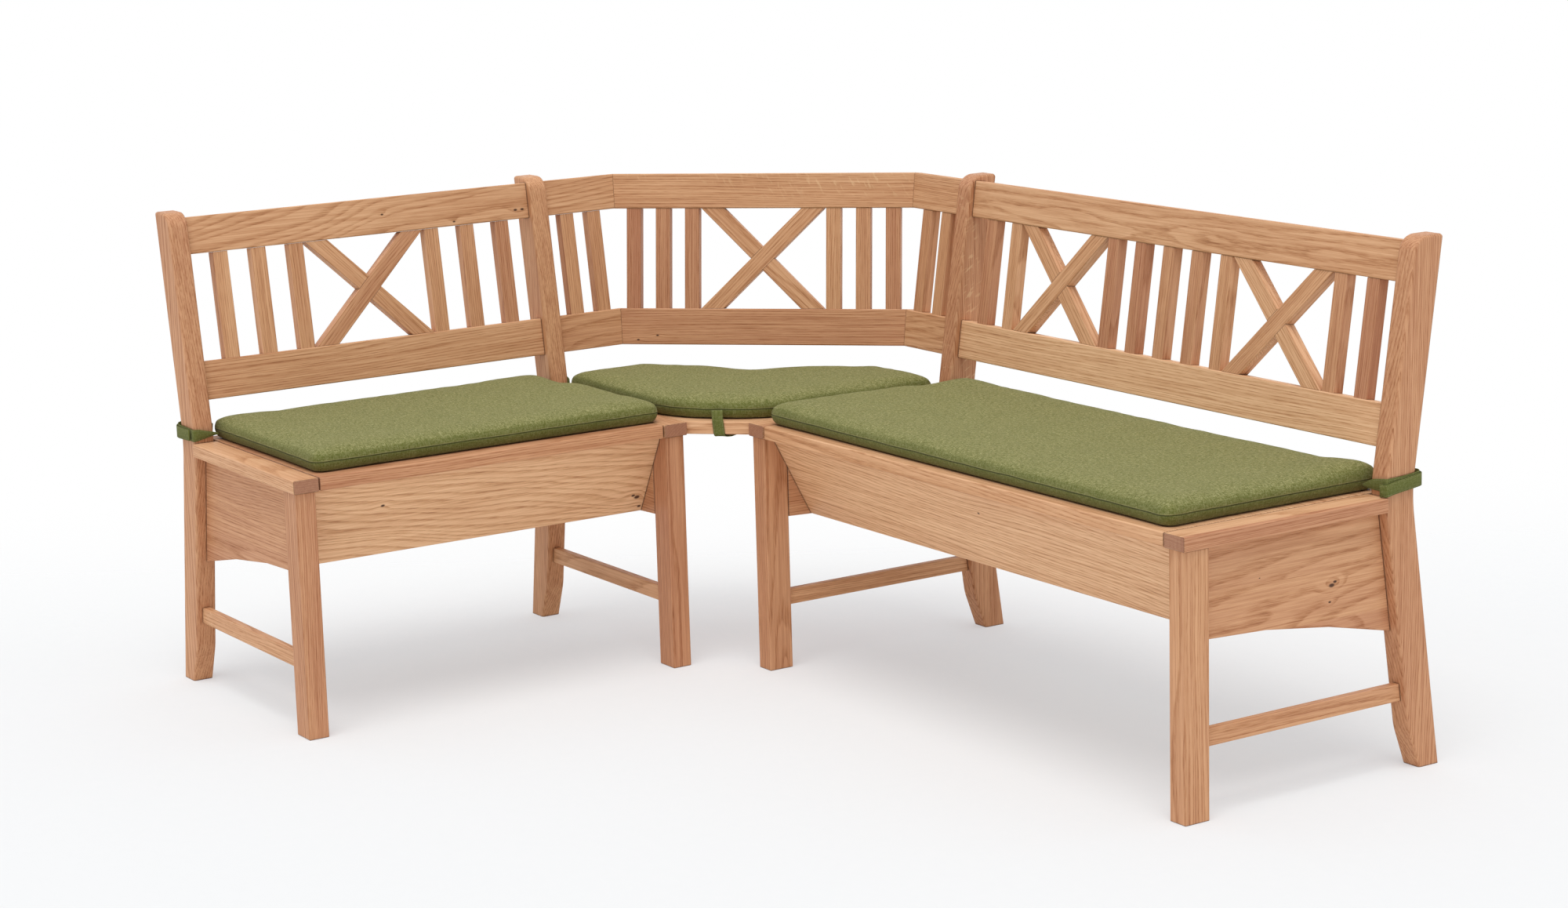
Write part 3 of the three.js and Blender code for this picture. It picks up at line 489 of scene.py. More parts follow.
def lattice_place(node, wing, rng):
    """The place in a lower rail or in the slats that stand in it, each out of a board of its own."""
    edges, low, high, rail_top, middle = slat_edges(node, wing)
    starts = [0.0] + [(edge - low) / (high - low) for edge in edges]
    lots = [(start, (rng.random(), rng.random(), rng.random())) for start in starts]
    rail_rotation = grain_rotation(wing.along, wing.up)
    slat_rotation = grain_rotation(wing.up, wing.along)
    rail_shift = Vector((rng.uniform(10, 20), 0, 0)) - rail_rotation @ middle
    slat_shift = -(slat_rotation @ middle)

    def place_of(tree, shade):
        at = tree.coordinates("Object")
        share = tree.remap(tree.place_along(wing.along), low, high)
        lot = tree.ramp(share, lots, constant=True)
        in_slat = tree.turned(at, slat_rotation, slat_shift)
        in_slat = tree.vector("ADD", in_slat, tree.vector("MULTIPLY", lot, (9.0, 1.7, 0.03)))
        in_rail = tree.turned(at, rail_rotation, rail_shift)
        is_slat = tree.math("GREATER_THAN", tree.place_along(wing.up), rail_top + 0.0002)
        slat_shade = tree.remap(tree.split(lot)[2], 0.0, 1.0, 0.42, 0.96)
        return tree.choose(is_slat, in_rail, in_slat), tree.number(is_slat, shade, slat_shade)

    return place_of, rail_rotation, rail_shift


def cross_place(node, wing, rng):
    """The place in one of the half-lapped bars of a cross, and the joint lines where they meet."""
    low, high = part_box(node)
    middle = (low + high) / 2
    diagonal = math.hypot(BAY_WIDTH, BAY_HEIGHT)
    angle = math.atan2(BAY_HEIGHT, BAY_WIDTH) + math.asin(CROSS_BAR_WIDTH / diagonal)
    rising = wing.along * math.cos(angle) + wing.up * math.sin(angle)
    falling = wing.along * math.cos(angle) - wing.up * math.sin(angle)
    rotations = [grain_rotation(bar, bar.cross(wing.face)) for bar in (rising, falling)]
    lots = [Vector((rng.uniform(-20, 20), rng.uniform(-0.04, 0.04), 0)) for _ in rotations]
    shifts = [lot - turn @ middle for lot, turn in zip(lots, rotations)]
    falling_shade = rng.uniform(0.3, 0.6)

    def away_from(tree, bar):
        side = bar.cross(wing.face).normalized()
        place = tree.place_along(side)
        return tree.math("ABSOLUTE", tree.math("SUBTRACT", place, middle.dot(side)))

    def pick(tree, front, behind):
        """One value in the front half of the bars' thickness, and another in the rear half."""
        place = tree.place_along(wing.face)
        in_front = tree.math("GREATER_THAN", place, middle.dot(wing.face))
        return tree.number(in_front, behind, front)

    def place_of(tree, shade):
        in_rising = tree.math("LESS_THAN", away_from(tree, rising), CROSS_BAR_WIDTH / 2)
        off_falling = tree.math("GREATER_THAN", away_from(tree, falling), CROSS_BAR_WIDTH / 2)
        is_rising = pick(tree, in_rising, off_falling)
        at = tree.coordinates("Object")
        places = [tree.turned(at, turn, shift) for turn, shift in zip(rotations, shifts)]
        place = tree.choose(is_rising, places[1], places[0])
        return place, tree.number(is_rising, falling_shade, shade)

    def line_of(tree):
        lines = []
        for bar, other in ((rising, falling), (falling, rising)):
            off_edge = tree.math("SUBTRACT", away_from(tree, bar), CROSS_BAR_WIDTH / 2)
            edge = tree.math("LESS_THAN", tree.math("ABSOLUTE", off_edge), LAP_LINE)
            inside = tree.math("LESS_THAN", away_from(tree, other), CROSS_BAR_WIDTH / 2)
            lines.append(tree.math("MULTIPLY", edge, inside))
        return tree.math("MULTIPLY", pick(tree, *lines), 0.7)

    return place_of, line_of


def dress(node, material):
    """Gives a node of the frame its material."""
    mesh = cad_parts[node].data
    mesh.materials.clear()
    mesh.materials.append(material)


def wing_of(node):
    if node.startswith(("left", "corner_back_left", "corner_seat_left")):
        return LEFT
    if node.startswith(("right", "corner_back_right", "corner_seat_right")):
        return RIGHT
    return CORNER


def grain_of(node, wing):
    """Which way the grain of a board runs, and which way its wide face lies across it."""
    if node.endswith(("front_leg", "rear_post")):
        return UP, wing.forward
    if node.endswith("cap_rail"):
        return wing.forward, wing.along
    if node.endswith(("side_panel", "stretcher", "cleat")):
        return wing.forward, UP
    if node.endswith(("lid", "corner_seat")):
        return wing.along, wing.forward
    return wing.along, wing.up


def dress_oak():
    for index, node in enumerate(sorted(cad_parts)):
        if "hinge" in node or "cushion" in node or node.endswith(("back_board", "chest_floor")):
            continue
        wing = wing_of(node)
        rng = random.Random(11 + index)
        shade = OAK_SHADES.get(node, rng.uniform(0.35, 0.65))
        if "_cross" in node:
            place_of, line_of = cross_place(node, wing, rng)
            dress(node, oak_material(node, place_of, rng, shade, line_of=line_of))
            continue
        grain, across = grain_of(node, wing)
        if node.endswith("lattice"):
            place_of, rotation, shift = lattice_place(node, wing, rng)
        else:
            place_of, rotation, shift = board_place(node, grain, across, rng)
        knots = []
        for station, reach, height, size in KNOTS.get(node, ()):
            knots.append((tuple(rotation @ wing.point(station, reach, height) + shift), size))
        ends = node.endswith(("cap_rail", "lid", "corner_seat"))
        edge = POST_EDGE if node.endswith("rear_post") else BOARD_EDGE
        oak = oak_material(node, place_of, rng, shade, knots, grain=grain, end_grain=ends, edge=edge)
        dress(node, oak)


def plywood_material(node, wing):
    tree = Tree(f"plywood_{node}")
    place = tree.turned(tree.coordinates("Object"), grain_rotation(wing.along, UP), Vector((3, 0, 0)))
    figure = tree.noise(place, (3.0, 42.0, 42.0), 3.0)
    fibre = tree.noise(place, (14.0, 700.0, 700.0), 2.0)
    colour = tree.mix(tree.remap(figure, 0.3, 0.7), (0.66, 0.47, 0.29), (0.52, 0.34, 0.19))
    colour = tree.mix(tree.remap(fibre, 0.4, 0.8, 0.0, 0.4), colour, (0.42, 0.26, 0.14))
    roughness = tree.remap(fibre, 0.2, 0.8, 0.55, 0.7)
    return tree.finish(colour, roughness, tree.bump(fibre, 0.0002, 0.6))


def steel_material():
    tree = Tree("hinge_steel")
    brushed = tree.noise(tree.coordinates("Object"), (900.0, 900.0, 60.0), 2.0)
    colour = tree.mix(brushed, (0.50, 0.50, 0.49), (0.66, 0.66, 0.64))
    roughness = tree.remap(brushed, 0.2, 0.8, 0.28, 0.42)
    return tree.finish(colour, roughness, tree.bump(brushed, 0.00008, 0.5), Metallic=1.0)


# Fabric: a melange weave in olive
CLOTH = ((0.33, (0.100, 0.106, 0.023)), (0.50, (0.227, 0.224, 0.071)), (0.66, (0.432, 0.413, 0.196)))
CLOTH_SPECK = (0.480, 0.460, 0.220)
CLOTH_SHADOW = (0.086, 0.108, 0.017)
CLOTH_THREAD = (0.420, 0.410, 0.180)
THREAD = 0.0012
WARP_LOTS = (620.0, 95.0, 1.0)
WEFT_LOTS = (95.0, 620.0, 1.0)
SPECKS = (260.0, 260.0, 1.0)
# The dark seam line: painted shadow in the seam's groove
SEAM_GROOVE_SHADOW = (0.034, 0.042, 0.008)
PAD_BASE = SEAT_HEIGHT + 0.0003
SEAM_HEIGHT = PAD_BASE + 0.0190


def weave(tree, x, y):
    """Colour and height of a plain weave of melange threads over two directions of the cloth."""
    warp = tree.math("SINE", tree.math("MULTIPLY", x, math.pi / THREAD))
    weft = tree.math("SINE", tree.math("MULTIPLY", y, math.pi / THREAD))
    over = tree.remap(tree.math("MULTIPLY", warp, weft), -0.4, 0.4)
    warp_lot = tree.noise(tree.join(x, y, 0.0), WARP_LOTS, 2.0, 0.7)
    weft_lot = tree.noise(tree.join(x, y, 7.0), WEFT_LOTS, 2.0, 0.7)
    colour = tree.mix(over, tree.ramp(warp_lot, CLOTH), tree.ramp(weft_lot, CLOTH))
    specks = tree.noise(tree.join(x, y, 3.0), SPECKS, 2.0, 0.8)
    colour = tree.mix(tree.remap(specks, 0.54, 0.68, 0.0, 0.65), colour, CLOTH_SPECK)
    colour = tree.mix(tree.remap(specks, 0.44, 0.30, 0.0, 0.65), colour, CLOTH_SHADOW)
    ridges = tree.math("ADD", tree.math("ABSOLUTE", warp), tree.math("ABSOLUTE", weft))
    height = tree.math("MULTIPLY_ADD", tree.math("ADD", warp_lot, weft_lot), 1.2, ridges)
    return colour, height


def cushion_material():
    tree = Tree("olive_fabric_cushion")
    at = tree.coordinates("Object")
    x, y, z = tree.split(at)
    facing = [tree.math("ABSOLUTE", part) for part in tree.split(tree.coordinates("Normal"))]
    level = facing[2]
    flat = tree.math("GREATER_THAN", level, 0.6)
    sideways = tree.math("GREATER_THAN", facing[0], facing[1])
    on_side = tree.choose(sideways, tree.join(x, z, 0.0), tree.join(y, z, 0.0))
    cloth_x, cloth_y, _ = tree.split(tree.choose(flat, on_side, tree.join(x, y, 0.0)))
    colour, height = weave(tree, cloth_x, cloth_y)
    cloud = tree.noise(at, (22.0, 22.0, 22.0), 3.0, 0.6)
    shadow = tree.remap(cloud, 0.35, 0.7, 0.0, 0.14)
    shadow = tree.math("ADD", shadow, tree.remap(level, 0.985, 0.50, 0.0, 0.45))
    shadow = tree.math("ADD", shadow, tree.remap(z, SEAM_HEIGHT, SEAM_HEIGHT - 0.003, 0.0, 0.12))
    colour = tree.mix(shadow, colour, CLOTH_SHADOW)
    wander = tree.noise(at, (18.0, 18.0, 0.0), 1.0)
    line = tree.math("SUBTRACT", z, tree.math("MULTIPLY_ADD", wander, 0.0024, SEAM_HEIGHT - 0.0012))
    groove = tree.remap(tree.math("ABSOLUTE", line), 0.0003, 0.0015, 1.0, 0.0, smooth=True)
    off_lip = tree.math("ABSOLUTE", tree.math("SUBTRACT", line, 0.0017))
    lip = tree.remap(off_lip, 0.0003, 0.0009, 1.0, 0.0)
    # Painted shadow in the seam's groove
    colour = tree.mix(tree.math("MULTIPLY", groove, 0.75), colour, SEAM_GROOVE_SHADOW)
    colour = tree.mix(tree.math("MULTIPLY", lip, 0.35), colour, CLOTH_THREAD)
    normal = tree.bump(height, 0.00024, 0.8)
    normal = tree.bump(groove, -0.0012, 1.0, normal)
    sheen = {"Sheen_Weight": 0.08, "Sheen_Roughness": 0.5}
    return tree.finish(colour, 0.95, normal, Specular_IOR_Level=0.12, **sheen)


def strap_material():
    """The same weave in a narrow band, sewn along both edges."""
    tree = Tree("olive_fabric_strap")
    along, across, _ = tree.split(tree.add("UVMap", uv_map="strap").outputs[0])
    colour, height = weave(tree, along, across)
    colour = tree.mix(0.68, colour, CLOTH_SHADOW)
    edge = tree.math("MINIMUM", across, tree.math("SUBTRACT", STRAP_WIDTH, across))
    off_row = tree.math("ABSOLUTE", tree.math("SUBTRACT", edge, STITCH_INSET))
    row = tree.remap(off_row, 0.0002, 0.0006, 1.0, 0.0)
    beat = tree.math("SINE", tree.math("MULTIPLY", along, 2 * math.pi / STITCH_LENGTH))
    stitch = tree.math("MULTIPLY", row, tree.math("GREATER_THAN", beat, -0.4))
    colour = tree.mix(tree.math("MULTIPLY", stitch, 0.5), colour, CLOTH_THREAD)
    normal = tree.bump(height, 0.00020, 0.8)
    normal = tree.bump(row, -0.0005, 0.8, normal)
    return tree.finish(colour, 0.95, normal, Sheen_Weight=0.08, Specular_IOR_Level=0.12)


# Cushions: inset and height on the way up the side, by the seat, belly, seam, shoulder and top
CUSHION_SIDE = (
    (0.0165, 0.0),
    (0.01, 0.004),
    (0.0058, 0.011),
    (0.0042, 0.018),
    (0.0048, 0.024),
    (0.0068, 0.0295),
    (0.0118, 0.034),
    (0.02, 0.0365),
)
PAD_CELL = 0.007
PAD_SWELL = 0.0065
PAD_SWELL_FRAMES = 20
# Heights of the uneven filling and how fast they change, and how far up the side they begin
PAD_UNEVEN = ((0.0016, 11.0), (0.0008, 34.0))
PAD_UNEVEN_RISE = 0.015
# Outline of a wing's cushion: station, reach and corner radius, first where it is cut back beside
# the inner post, then the stations of the outer ends and the reaches of the front edges
PAD_REAR = 0.076
PAD_INNER_CORNERS = ((0.6785, PAD_REAR, 0.018), (0.6785, 0.195, 0.030), (0.659, 0.230, 0.030))
PAD_INNER = 0.659
PAD_FRONT_RADIUS = 0.028
PAD_REAR_RADIUS = 0.018
PAD_ENDS = {"left_cushion": 1.384, "right_cushion": 1.812}
PAD_FRONTS = {"left_cushion": 0.534, "right_cushion": 0.543}
# Outline of the corner cushion: the middle of its rear edge dips a little
CORNER_PAD_MIDDLE = (0.0, 0.437, 0.120)
CORNER_PAD_HALF = ((0.2468, 0.425, 0.020), (0.3741, 0.552, 0.020), (0.1033, 0.823, 0.220))
# Dents, and with a minus sign rises: station, reach, size and depth
DENTS = {
    "left_cushion": ((1.05, 0.3, 0.25, 0.0015),),
    "right_cushion": ((1.78, 0.13, 0.06, -0.006), (1.2, 0.3, 0.3, 0.0015)),
    "corner_cushion": ((-0.01, 0.425, 0.075, 0.009),),
}


def rounded(corners, step=0.008):
    """Points round an outline of corners (place, radius), along its arcs and its straight sides."""
    points = []
    for index, (corner, radius) in enumerate(corners):
        before = (corners[index - 1][0] - corner).normalized()
        after = (corners[(index + 1) % len(corners)][0] - corner).normalized()
        half = before.angle(after) / 2
        start = corner + before * (radius / math.tan(half))
        end = corner + after * (radius / math.tan(half))
        centre = corner + (before + after).normalized() * (radius / math.sin(half))
        turn = math.pi - 2 * half
        steps = max(3, math.ceil(turn * radius / step))
        for number in range(steps + 1):
            share = number / steps
            arm = (start - centre) * math.sin((1 - share) * turn)
            arm += (end - centre) * math.sin(share * turn)
            points.append(centre + arm / math.sin(turn))
    loop = []
    for index, point in enumerate(points):
        following = points[(index + 1) % len(points)]
        count = max(1, round((following - point).length / step))
        loop += [point.lerp(following, number / count) for number in range(count)]
    area = sum(a.x * b.y - b.x * a.y for a, b in zip(loop, loop[1:] + loop[:1]))
    return loop if area > 0 else loop[::-1]


def drawn_in(loop, distance):
    """An anticlockwise outline, drawn in by a distance."""
    moved = []
    for index, point in enumerate(loop):
        tangent = (loop[(index + 1) % len(loop)] - loop[index - 1]).normalized()
        moved.append(point + Vector((-tangent.y, tangent.x)) * distance)
    return moved


def new_object(name, geometry):
    mesh = bpy.data.meshes.new(name)
    geometry.to_mesh(mesh)
    geometry.free()
    piece = bpy.data.objects.new(name, mesh)
    bpy.context.scene.collection.objects.link(piece)
    return piece


def cushion_form(name, loop):
    """The closed form of a cushion before its cover is pulled tight."""
    form = bmesh.new()
    rings = []
    for distance, height in CUSHION_SIDE:
        rings.append([form.verts.new((p.x, p.y, PAD_BASE + height)) for p in drawn_in(loop, distance)])
    for low, high in zip(rings, rings[1:]):
        for index in range(len(loop)):
            after = (index + 1) % len(loop)
            form.faces.new((low[index], low[after], high[after], high[index]))
    form.faces.new(rings[0][::-1])
    form.faces.new(rings[-1])
    bmesh.ops.triangulate(form, faces=form.faces[:])
    return new_object(name, form)


def apply_modifier(piece, modifier):
    with bpy.context.temp_override(object=piece, active_object=piece, selected_objects=[piece]):
        bpy.ops.object.modifier_apply(modifier=modifier.name)


def positions(mesh):
    places = np.empty(len(mesh.vertices) * 3)
    mesh.vertices.foreach_get("co", places)
    return places.reshape(-1, 3)


def blow_up(piece):
    """Presses a cover outwards, and keeps each point within a swell of where it was."""
    before = positions(piece.data)
    cloth = piece.modifiers.new("cloth", "CLOTH")
    cloth.settings.quality = 4
    cloth.settings.mass = 0.3
    cloth.settings.tension_stiffness = 12
    cloth.settings.compression_stiffness = 12
    cloth.settings.bending_stiffness = 0.6
    cloth.settings.use_pressure = True
    cloth.settings.uniform_pressure_force = 4
    cloth.settings.effector_weights.gravity = 0
    cloth.collision_settings.use_collision = False
    cloth.point_cache.frame_start = 1
    cloth.point_cache.frame_end = PAD_SWELL_FRAMES
    for number in range(PAD_SWELL_FRAMES):
        bpy.context.scene.frame_set(number + 1)
    apply_modifier(piece, cloth)
    bpy.context.scene.frame_set(1)
    moved = positions(piece.data) - before
    length = np.linalg.norm(moved, axis=1, keepdims=True)
    after = before + moved * np.minimum(1.0, PAD_SWELL / np.maximum(length, 1e-9))
    after[:, 2] = np.maximum(after[:, 2], PAD_BASE)
    piece.data.vertices.foreach_set("co", after.ravel())


def settle(piece, wing, dents):
    """Uneven filling, and the places where a cushion is pressed down or stands up."""
    for vertex in piece.data.vertices:
        share = min(1.0, max(0.0, (vertex.co.z - SEAM_HEIGHT) / PAD_UNEVEN_RISE))
        lift = sum(height * noise.noise(vertex.co * scale) for height, scale in PAD_UNEVEN)
        for station, reach, size, depth in dents:
            away = (vertex.co.xy - wing.point(station, reach, 0).xy).length / size
            lift -= depth * math.exp(-away * away)
        vertex.co.z += share * lift


def stuff(piece, wing, dents):
    """Fills a cover, and gives it a finer surface."""
    remesh = piece.modifiers.new("remesh", "REMESH")
    remesh.mode = "VOXEL"
    remesh.voxel_size = PAD_CELL
    apply_modifier(piece, remesh)
    blow_up(piece)
    settle(piece, wing, dents)
    finer = piece.modifiers.new("finer", "SUBSURF")
    finer.levels = 1
    finer.render_levels = 1
    apply_modifier(piece, finer)
    for face in piece.data.polygons:
        face.use_smooth = True


def cushion_outline(node, wing):
    """Corners of a cushion as station, reach and radius."""
    if wing is CORNER:
        other_half = [(-along, reach, radius) for along, reach, radius in reversed(CORNER_PAD_HALF)]
        return [CORNER_PAD_MIDDLE, *CORNER_PAD_HALF, *other_half]
    end, front = PAD_ENDS[node], PAD_FRONTS[node]
    front_corners = [(station, front, PAD_FRONT_RADIUS) for station in (PAD_INNER, end)]
    return [*PAD_INNER_CORNERS, *front_corners, (end, PAD_REAR, PAD_REAR_RADIUS)]


def make_cushions():
    material = cushion_material()
    plans = (
        ("left_cushion", LEFT, "left_seat"),
        ("right_cushion", RIGHT, "right_seat"),
        ("corner_cushion", CORNER, "bench"),
    )
    for node, wing, body in plans:
        corners = []
        for station, reach, radius in cushion_outline(node, wing):
            corners.append((wing.point(station, reach, 0).xy, radius))
        piece = cushion_form(f"{node}_cover", rounded(corners))
        piece.data.materials.append(material)
        stuff(piece, wing, DENTS[node])
        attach(piece, body)
        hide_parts(node)


# Straps, and where the ties turn from the post to the cushion when a lid opens
STRAP_WIDTH = 0.022
STRAP_THICKNESS = 0.0016
STRAP_HEM = 0.0045
STITCH_INSET = 0.0025
STITCH_LENGTH = 0.0032
CORNER_EDGE_REACH = 0.8301
TIE_FREE = 0.0385
TIE_SEWN = 0.0430
STRAP_UPPER = ((-0.5, 0.2), (-0.46, 0.5), (0.46, 0.5), (0.5, 0.2))
STRAP_SECTION = (*STRAP_UPPER, *((-across, -out) for across, out in STRAP_UPPER))
STRAP_HEIGHT = SEAT_HEIGHT + 0.016


def smooth_path(points, steps=8):
    """A smooth line through points (place, direction of the width, share of the width)."""
    path = []
    for index in range(len(points) - 1):
        quad = [points[max(0, min(len(points) - 1, index + k))] for k in (-1, 0, 1, 2)]
        for step in range(steps):
            t = step / steps
            weights = (
                (-t + 2 * t ** 2 - t ** 3) / 2,
                (2 - 5 * t ** 2 + 3 * t ** 3) / 2,
                (t + 4 * t ** 2 - 3 * t ** 3) / 2,
                (t ** 3 - t ** 2) / 2,
            )
            place = sum((point[0] * weight for point, weight in zip(quad, weights)), Vector((0, 0, 0)))
            across = quad[1][1].lerp(quad[2][1], t)
            path.append((place, across, quad[1][2] * (1 - t) + quad[2][2] * t))
    return path + [points[-1]]


def ribbon(name, path, hem):
    """A flat closed band along a path, folded over at its start for the length of the hem."""
    band = bmesh.new()
    layout = band.loops.layers.uv.new("strap")
    rings, lengths = [], [0.0]
    for index, (place, across, share) in enumerate(path):
        ahead = (path[min(index + 1, len(path) - 1)][0] - path[max(index - 1, 0)][0]).normalized()
        across = (across - ahead * across.dot(ahead)).normalized()
        out = ahead.cross(across) * STRAP_THICKNESS * (2 if lengths[-1] < hem else 1)
        across = across * (STRAP_WIDTH * share)
        rings.append([band.verts.new(place + across * a + out * b) for a, b in STRAP_SECTION])
        if index:
            lengths.append(lengths[-1] + (place - path[index - 1][0]).length)
    count = len(STRAP_SECTION)
    for number, (low, high) in enumerate(zip(rings, rings[1:])):
        for index in range(count):
            after = (index + 1) % count
            face = band.faces.new((low[index], low[after], high[after], high[index]))
            for loop, along, side in zip(face.loops, (0, 0, 1, 1), (index, after, after, index)):
                across = (STRAP_SECTION[side][0] + 0.5) * STRAP_WIDTH
                loop[layout].uv = (lengths[number + along], across)
    band.faces.new(rings[0][::-1])
    band.faces.new(rings[-1])
    bmesh.ops.recalc_face_normals(band, faces=band.faces[:])
    piece = new_object(name, band)
    for face in piece.data.polygons:
        face.use_smooth = True
    return piece


# Points of a tie: off the post's outer side, reach, height above the seat, share of the width.
# It comes out of the cushion's seam as a point, goes round the outer post and back to the cushion.
LEFT_TIE = (
    (-0.043, 0.1318, 0.0155, 0.12),
    (-0.036, 0.129, 0.016, 0.28),
    (-0.022, 0.1262, 0.0158, 0.62),
    (-0.009, 0.1245, 0.0158, 0.92),
    (-0.003, 0.124, 0.0155, 1.0),
    (0.0008, 0.1222, 0.0152, 1.0),
    (0.0018, 0.116, 0.015, 1.0),
    (0.002, 0.095, 0.016, 1.0),
    (0.0024, 0.075, 0.0165, 1.0),
    (0.0022, 0.058, 0.017, 1.0),
    (-0.0005, 0.05, 0.0185, 1.0),
    (-0.008, 0.047, 0.02, 1.0),
    (-0.02, 0.0478, 0.0205, 1.0),
    (-0.032, 0.05, 0.02, 1.0),
    (-0.045, 0.06, 0.019, 0.9),
    (-0.056, 0.076, 0.017, 0.7),
)
RIGHT_TIE = (
    (-0.046, 0.1318, 0.0158, 0.12),
    (-0.041, 0.129, 0.0158, 0.42),
    (-0.032, 0.1262, 0.0175, 0.72),
    (-0.025, 0.125, 0.0185, 0.84),
    (-0.015, 0.124, 0.019, 0.92),
    (-0.006, 0.124, 0.0195, 1.0),
    (0.0002, 0.1228, 0.02, 1.0),
    (0.0016, 0.117, 0.0202, 1.0),
    (0.0018, 0.09, 0.021, 1.0),
    (0.0018, 0.066, 0.0228, 1.0),
    (0.0005, 0.054, 0.0243, 1.0),
    (-0.004, 0.049, 0.0252, 1.0),
    (-0.012, 0.048, 0.0255, 1.0),
    (-0.03, 0.05, 0.024, 1.0),
    (-0.045, 0.06, 0.02, 0.9),
    (-0.056, 0.076, 0.017, 0.7),
)
# The second end of each tie lies over the first and stops in a hem
LEFT_TIE_END = (
    (0.0064, 0.1135, 0.0156, 0.92),
    (0.0066, 0.1, 0.015, 0.92),
    (0.007, 0.08, 0.0146, 0.95),
    (0.0066, 0.062, 0.0146, 0.98),
    (0.0035, 0.051, 0.015, 1.0),
    (-0.002, 0.0455, 0.016, 1.0),
    (-0.012, 0.0445, 0.017, 1.0),
    (-0.026, 0.046, 0.0175, 1.0),
)
RIGHT_TIE_END = (
    (-0.008, 0.1295, 0.0114, 0.92),
    (-0.003, 0.129, 0.0116, 0.92),
    (0.004, 0.1265, 0.0122, 0.92),
    (0.006, 0.119, 0.0142, 0.92),
    (0.0066, 0.105, 0.0163, 0.92),
    (0.0068, 0.09, 0.018, 0.92),
    (0.0066, 0.07, 0.0203, 0.95),
    (0.0052, 0.056, 0.0218, 0.98),
    (0.001, 0.048, 0.022, 1.0),
    (-0.008, 0.0452, 0.0222, 1.0),
    (-0.02, 0.0455, 0.0222, 1.0),
    (-0.03, 0.047, 0.022, 1.0),
)
# The tie of the corner cushion that runs behind the left inner post
CORNER_TIE = (
    (0.006, 0.129, 0.018, 0.3),
    (-0.0005, 0.124, 0.018, 0.5),
    (-0.0012, 0.115, 0.018, 0.9),
    (-0.0012, 0.095, 0.018, 1.0),
    (-0.0012, 0.075, 0.018, 1.0),
    (0.0, 0.058, 0.018, 1.0),
    (0.0048, 0.0555, 0.018, 1.0),
    (0.0168, 0.056, 0.018, 1.0),
)
# From the front seam of the corner cushion over the front edge of the seat and under it: points
# along the edge, in front of it and above the seat
CORNER_STRAP = (
    (-0.003, -0.0075, 0.02),
    (-0.0028, -0.0039, 0.018),
    (-0.0022, -0.0017, 0.011),
    (-0.0012, 0.0, 0.002),
    (-0.0006, 0.0002, -0.005),
    (0.0004, 0.0, -0.015),
    (0.0012, -0.0001, -0.023),
    (0.0016, -0.0022, -0.0261),
    (0.005, -0.008, -0.0279),
    (0.013, -0.016, -0.0279),
    (0.023, -0.028, -0.0259),
    (0.033, -0.042, -0.0253),
)
CORNER_STRAP_SHARE = 0.95


def tie_path(wing, end, points):
    path = []
    for off, reach, height, share in points:
        path.append((wing.point(end + off, reach, SEAT_HEIGHT + height), UP, share))
    return smooth_path(path)


def corner_strap_path():
    path = []
    for along, off, height in CORNER_STRAP:
        place = CORNER.point(along, CORNER_EDGE_REACH + off, SEAT_HEIGHT + height)
        path.append((place, CORNER.along, CORNER_STRAP_SHARE))
    return smooth_path(path)


def make_straps():
    """The ties go round the posts; the bands sewn to the wing cushions are left unattached, and the
    other pieces go with the bench.
    """
    material = strap_material()
    plans = (
        ("left_cushion_strap_band", tie_path(LEFT, LEFT_END, LEFT_TIE), "left_cushion_strap"),
        ("left_cushion_strap_end", tie_path(LEFT, LEFT_END, LEFT_TIE_END), "left_cushion_strap"),
        ("right_cushion_strap_band", tie_path(RIGHT, RIGHT_END, RIGHT_TIE), "right_cushion_strap"),
        ("right_cushion_strap_end", tie_path(RIGHT, RIGHT_END, RIGHT_TIE_END), "right_cushion_strap"),
        ("corner_cushion_strap_band", corner_strap_path(), "corner_cushion_strap"),
        ("corner_cushion_tie", tie_path(LEFT, INNER_END, CORNER_TIE), "corner_cushion_strap"),
    )
    sewn = {
        "left_cushion_strap_band": (LEFT, LEFT_END, "left_seat"),
        "right_cushion_strap_band": (RIGHT, RIGHT_END, "right_seat"),
    }
    for name, path, node in plans:
        piece = ribbon(name, path, STRAP_HEM if name.endswith("strap_end") else 0)
        piece.data.materials.append(material)
        if name in sewn:
            wing, end, seat = sewn[name]
            start = wing.point(end - TIE_FREE, POST_REAR_REACH, STRAP_HEIGHT)
            stop = wing.point(end - TIE_SEWN, POST_REAR_REACH, STRAP_HEIGHT)
            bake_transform(piece)
        else:
            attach(piece, "bench")
        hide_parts(node)


def make_camera():
    yaw, pitch, roll = CAMERA_YAW, CAMERA_PITCH, CAMERA_ROLL
    level = Vector((-math.sin(yaw), math.cos(yaw), 0))
    ahead = level * math.cos(pitch) - UP * math.sin(pitch)
    right = Vector((math.cos(yaw), math.sin(yaw), 0))
    above = right.cross(ahead)
    turned_right = right * math.cos(roll) + above * math.sin(roll)
    turned_above = above * math.cos(roll) - right * math.sin(roll)
    data = bpy.data.cameras.new("camera")
    data.sensor_width = SENSOR
    data.lens = FOCAL_PIXELS / IMAGE_WIDTH * SENSOR
    data.clip_end = CAMERA_RANGE
    camera = bpy.data.objects.new("camera", data)
    matrix = Matrix((turned_right, turned_above, -ahead)).transposed().to_4x4()
    matrix.translation = CAMERA_PLACE
    camera.matrix_world = matrix
    bpy.context.scene.collection.objects.link(camera)
    bpy.context.scene.camera = camera


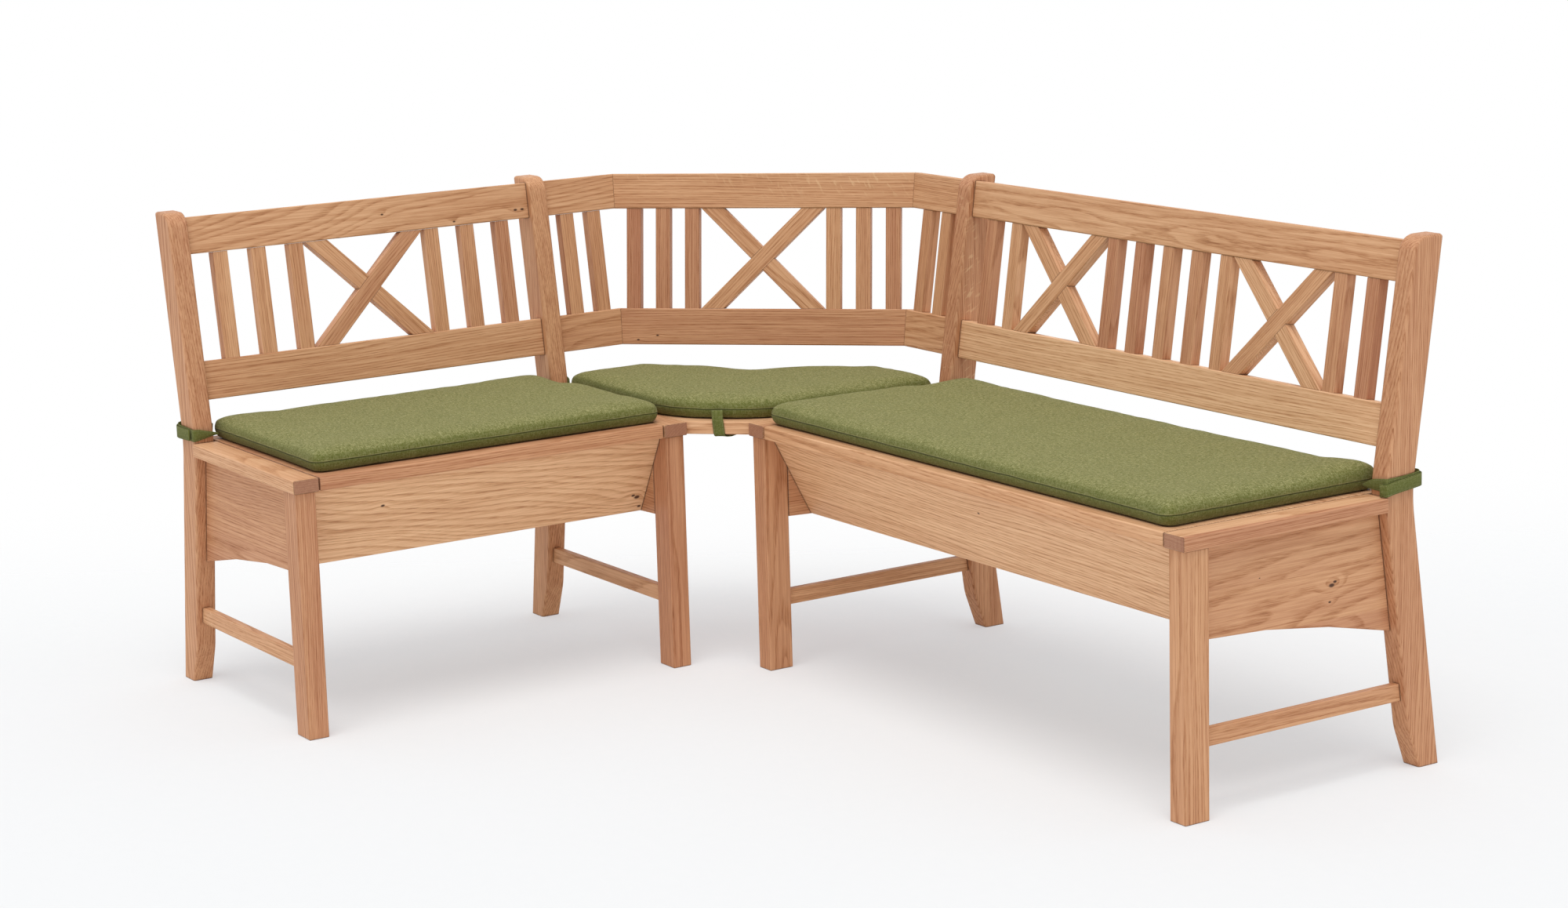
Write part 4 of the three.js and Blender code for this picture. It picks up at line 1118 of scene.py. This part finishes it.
# Studio: the floor, how it fades into the background from the bench on and behind it, and its glow
FLOOR_SIZE = 60.0
FLOOR_GRAIN = (40.0, 40.0, 40.0)
FLOOR_COLOURS = ((0.84, 0.84, 0.82), (0.86, 0.86, 0.84))
FLOOR_GLOW = (0.86, 0.89, 0.95)
FLOOR_GLOW_SHARE = 0.42
FADE = (2.6, 7.0)
BEHIND = (-0.837, 0.547, 0.0)
BEHIND_FADE = (0.3, 2.0)
# Strength of the surroundings as light and as seen, and the lamp's strength, size and tilt
AIR_STRENGTHS = (0.76, 1.0)
LAMP_STRENGTH = 1.45
LAMP_ANGLE = math.radians(34)
LAMP_TILT = (math.radians(12), math.radians(13), 0)


def make_floor():
    """A pale studio floor that fades into the white background, with a light, cool shadow."""
    corners = [(x * FLOOR_SIZE, y * FLOOR_SIZE, 0) for x, y in ((-1, -1), (1, -1), (1, 1), (-1, 1))]
    mesh = bpy.data.meshes.new("floor")
    mesh.from_pydata(corners, [], [(0, 1, 2, 3)])
    floor = bpy.data.objects.new("floor", mesh)
    bpy.context.scene.collection.objects.link(floor)
    tree = Tree("studio_floor")
    at = tree.coordinates("Object")
    paint = tree.mix(tree.noise(at, FLOOR_GRAIN, 2.0), *FLOOR_COLOURS)
    tree.finish(paint, 0.85, None, Specular_IOR_Level=0.1)
    painted = tree.output.inputs[0].links[0].from_socket
    glow = tree.add("Emission", (*FLOOR_GLOW, 1.0)).outputs[0]
    clear = tree.add("BsdfTransparent").outputs[0]
    far = tree.remap(tree.vector("LENGTH", at), *FADE, smooth=True)
    behind = tree.remap(tree.vector("DOT_PRODUCT", at, BEHIND), *BEHIND_FADE, smooth=True)
    lift = tree.math("MULTIPLY", tree.seen(), FLOOR_GLOW_SHARE)
    painted = tree.blended(lift, painted, glow)
    painted = tree.blended(tree.math("MAXIMUM", far, behind), painted, clear)
    tree.links.new(painted, tree.output.inputs[0])
    mesh.materials.append(tree.owner)


def make_lights():
    """White surroundings as seen, a plain even light from them, and one large soft lamp above."""
    tree = Tree("studio", world=True)
    white = (1.0, 1.0, 1.0, 1.0)
    shades = [tree.add("Background", white, strength).outputs[0] for strength in AIR_STRENGTHS]
    tree.links.new(tree.blended(tree.seen(), *shades), tree.output.inputs[0])
    bpy.context.scene.world = tree.owner
    lamp = bpy.data.lights.new("softbox", "SUN")
    lamp.energy = LAMP_STRENGTH
    lamp.angle = LAMP_ANGLE
    softbox = bpy.data.objects.new("softbox", lamp)
    softbox.rotation_euler = LAMP_TILT
    bpy.context.scene.collection.objects.link(softbox)


make_camera()
make_floor()
make_lights()
dress_oak()
hinge_steel = steel_material()
for node in sorted(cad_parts):
    if "hinge" in node:
        dress(node, hinge_steel)
    elif node.endswith(("back_board", "chest_floor")):
        dress(node, plywood_material(node, wing_of(node)))
make_cushions()
make_straps()

bpy.context.scene.view_settings.view_transform = "Standard"
bpy.context.view_layer.update()
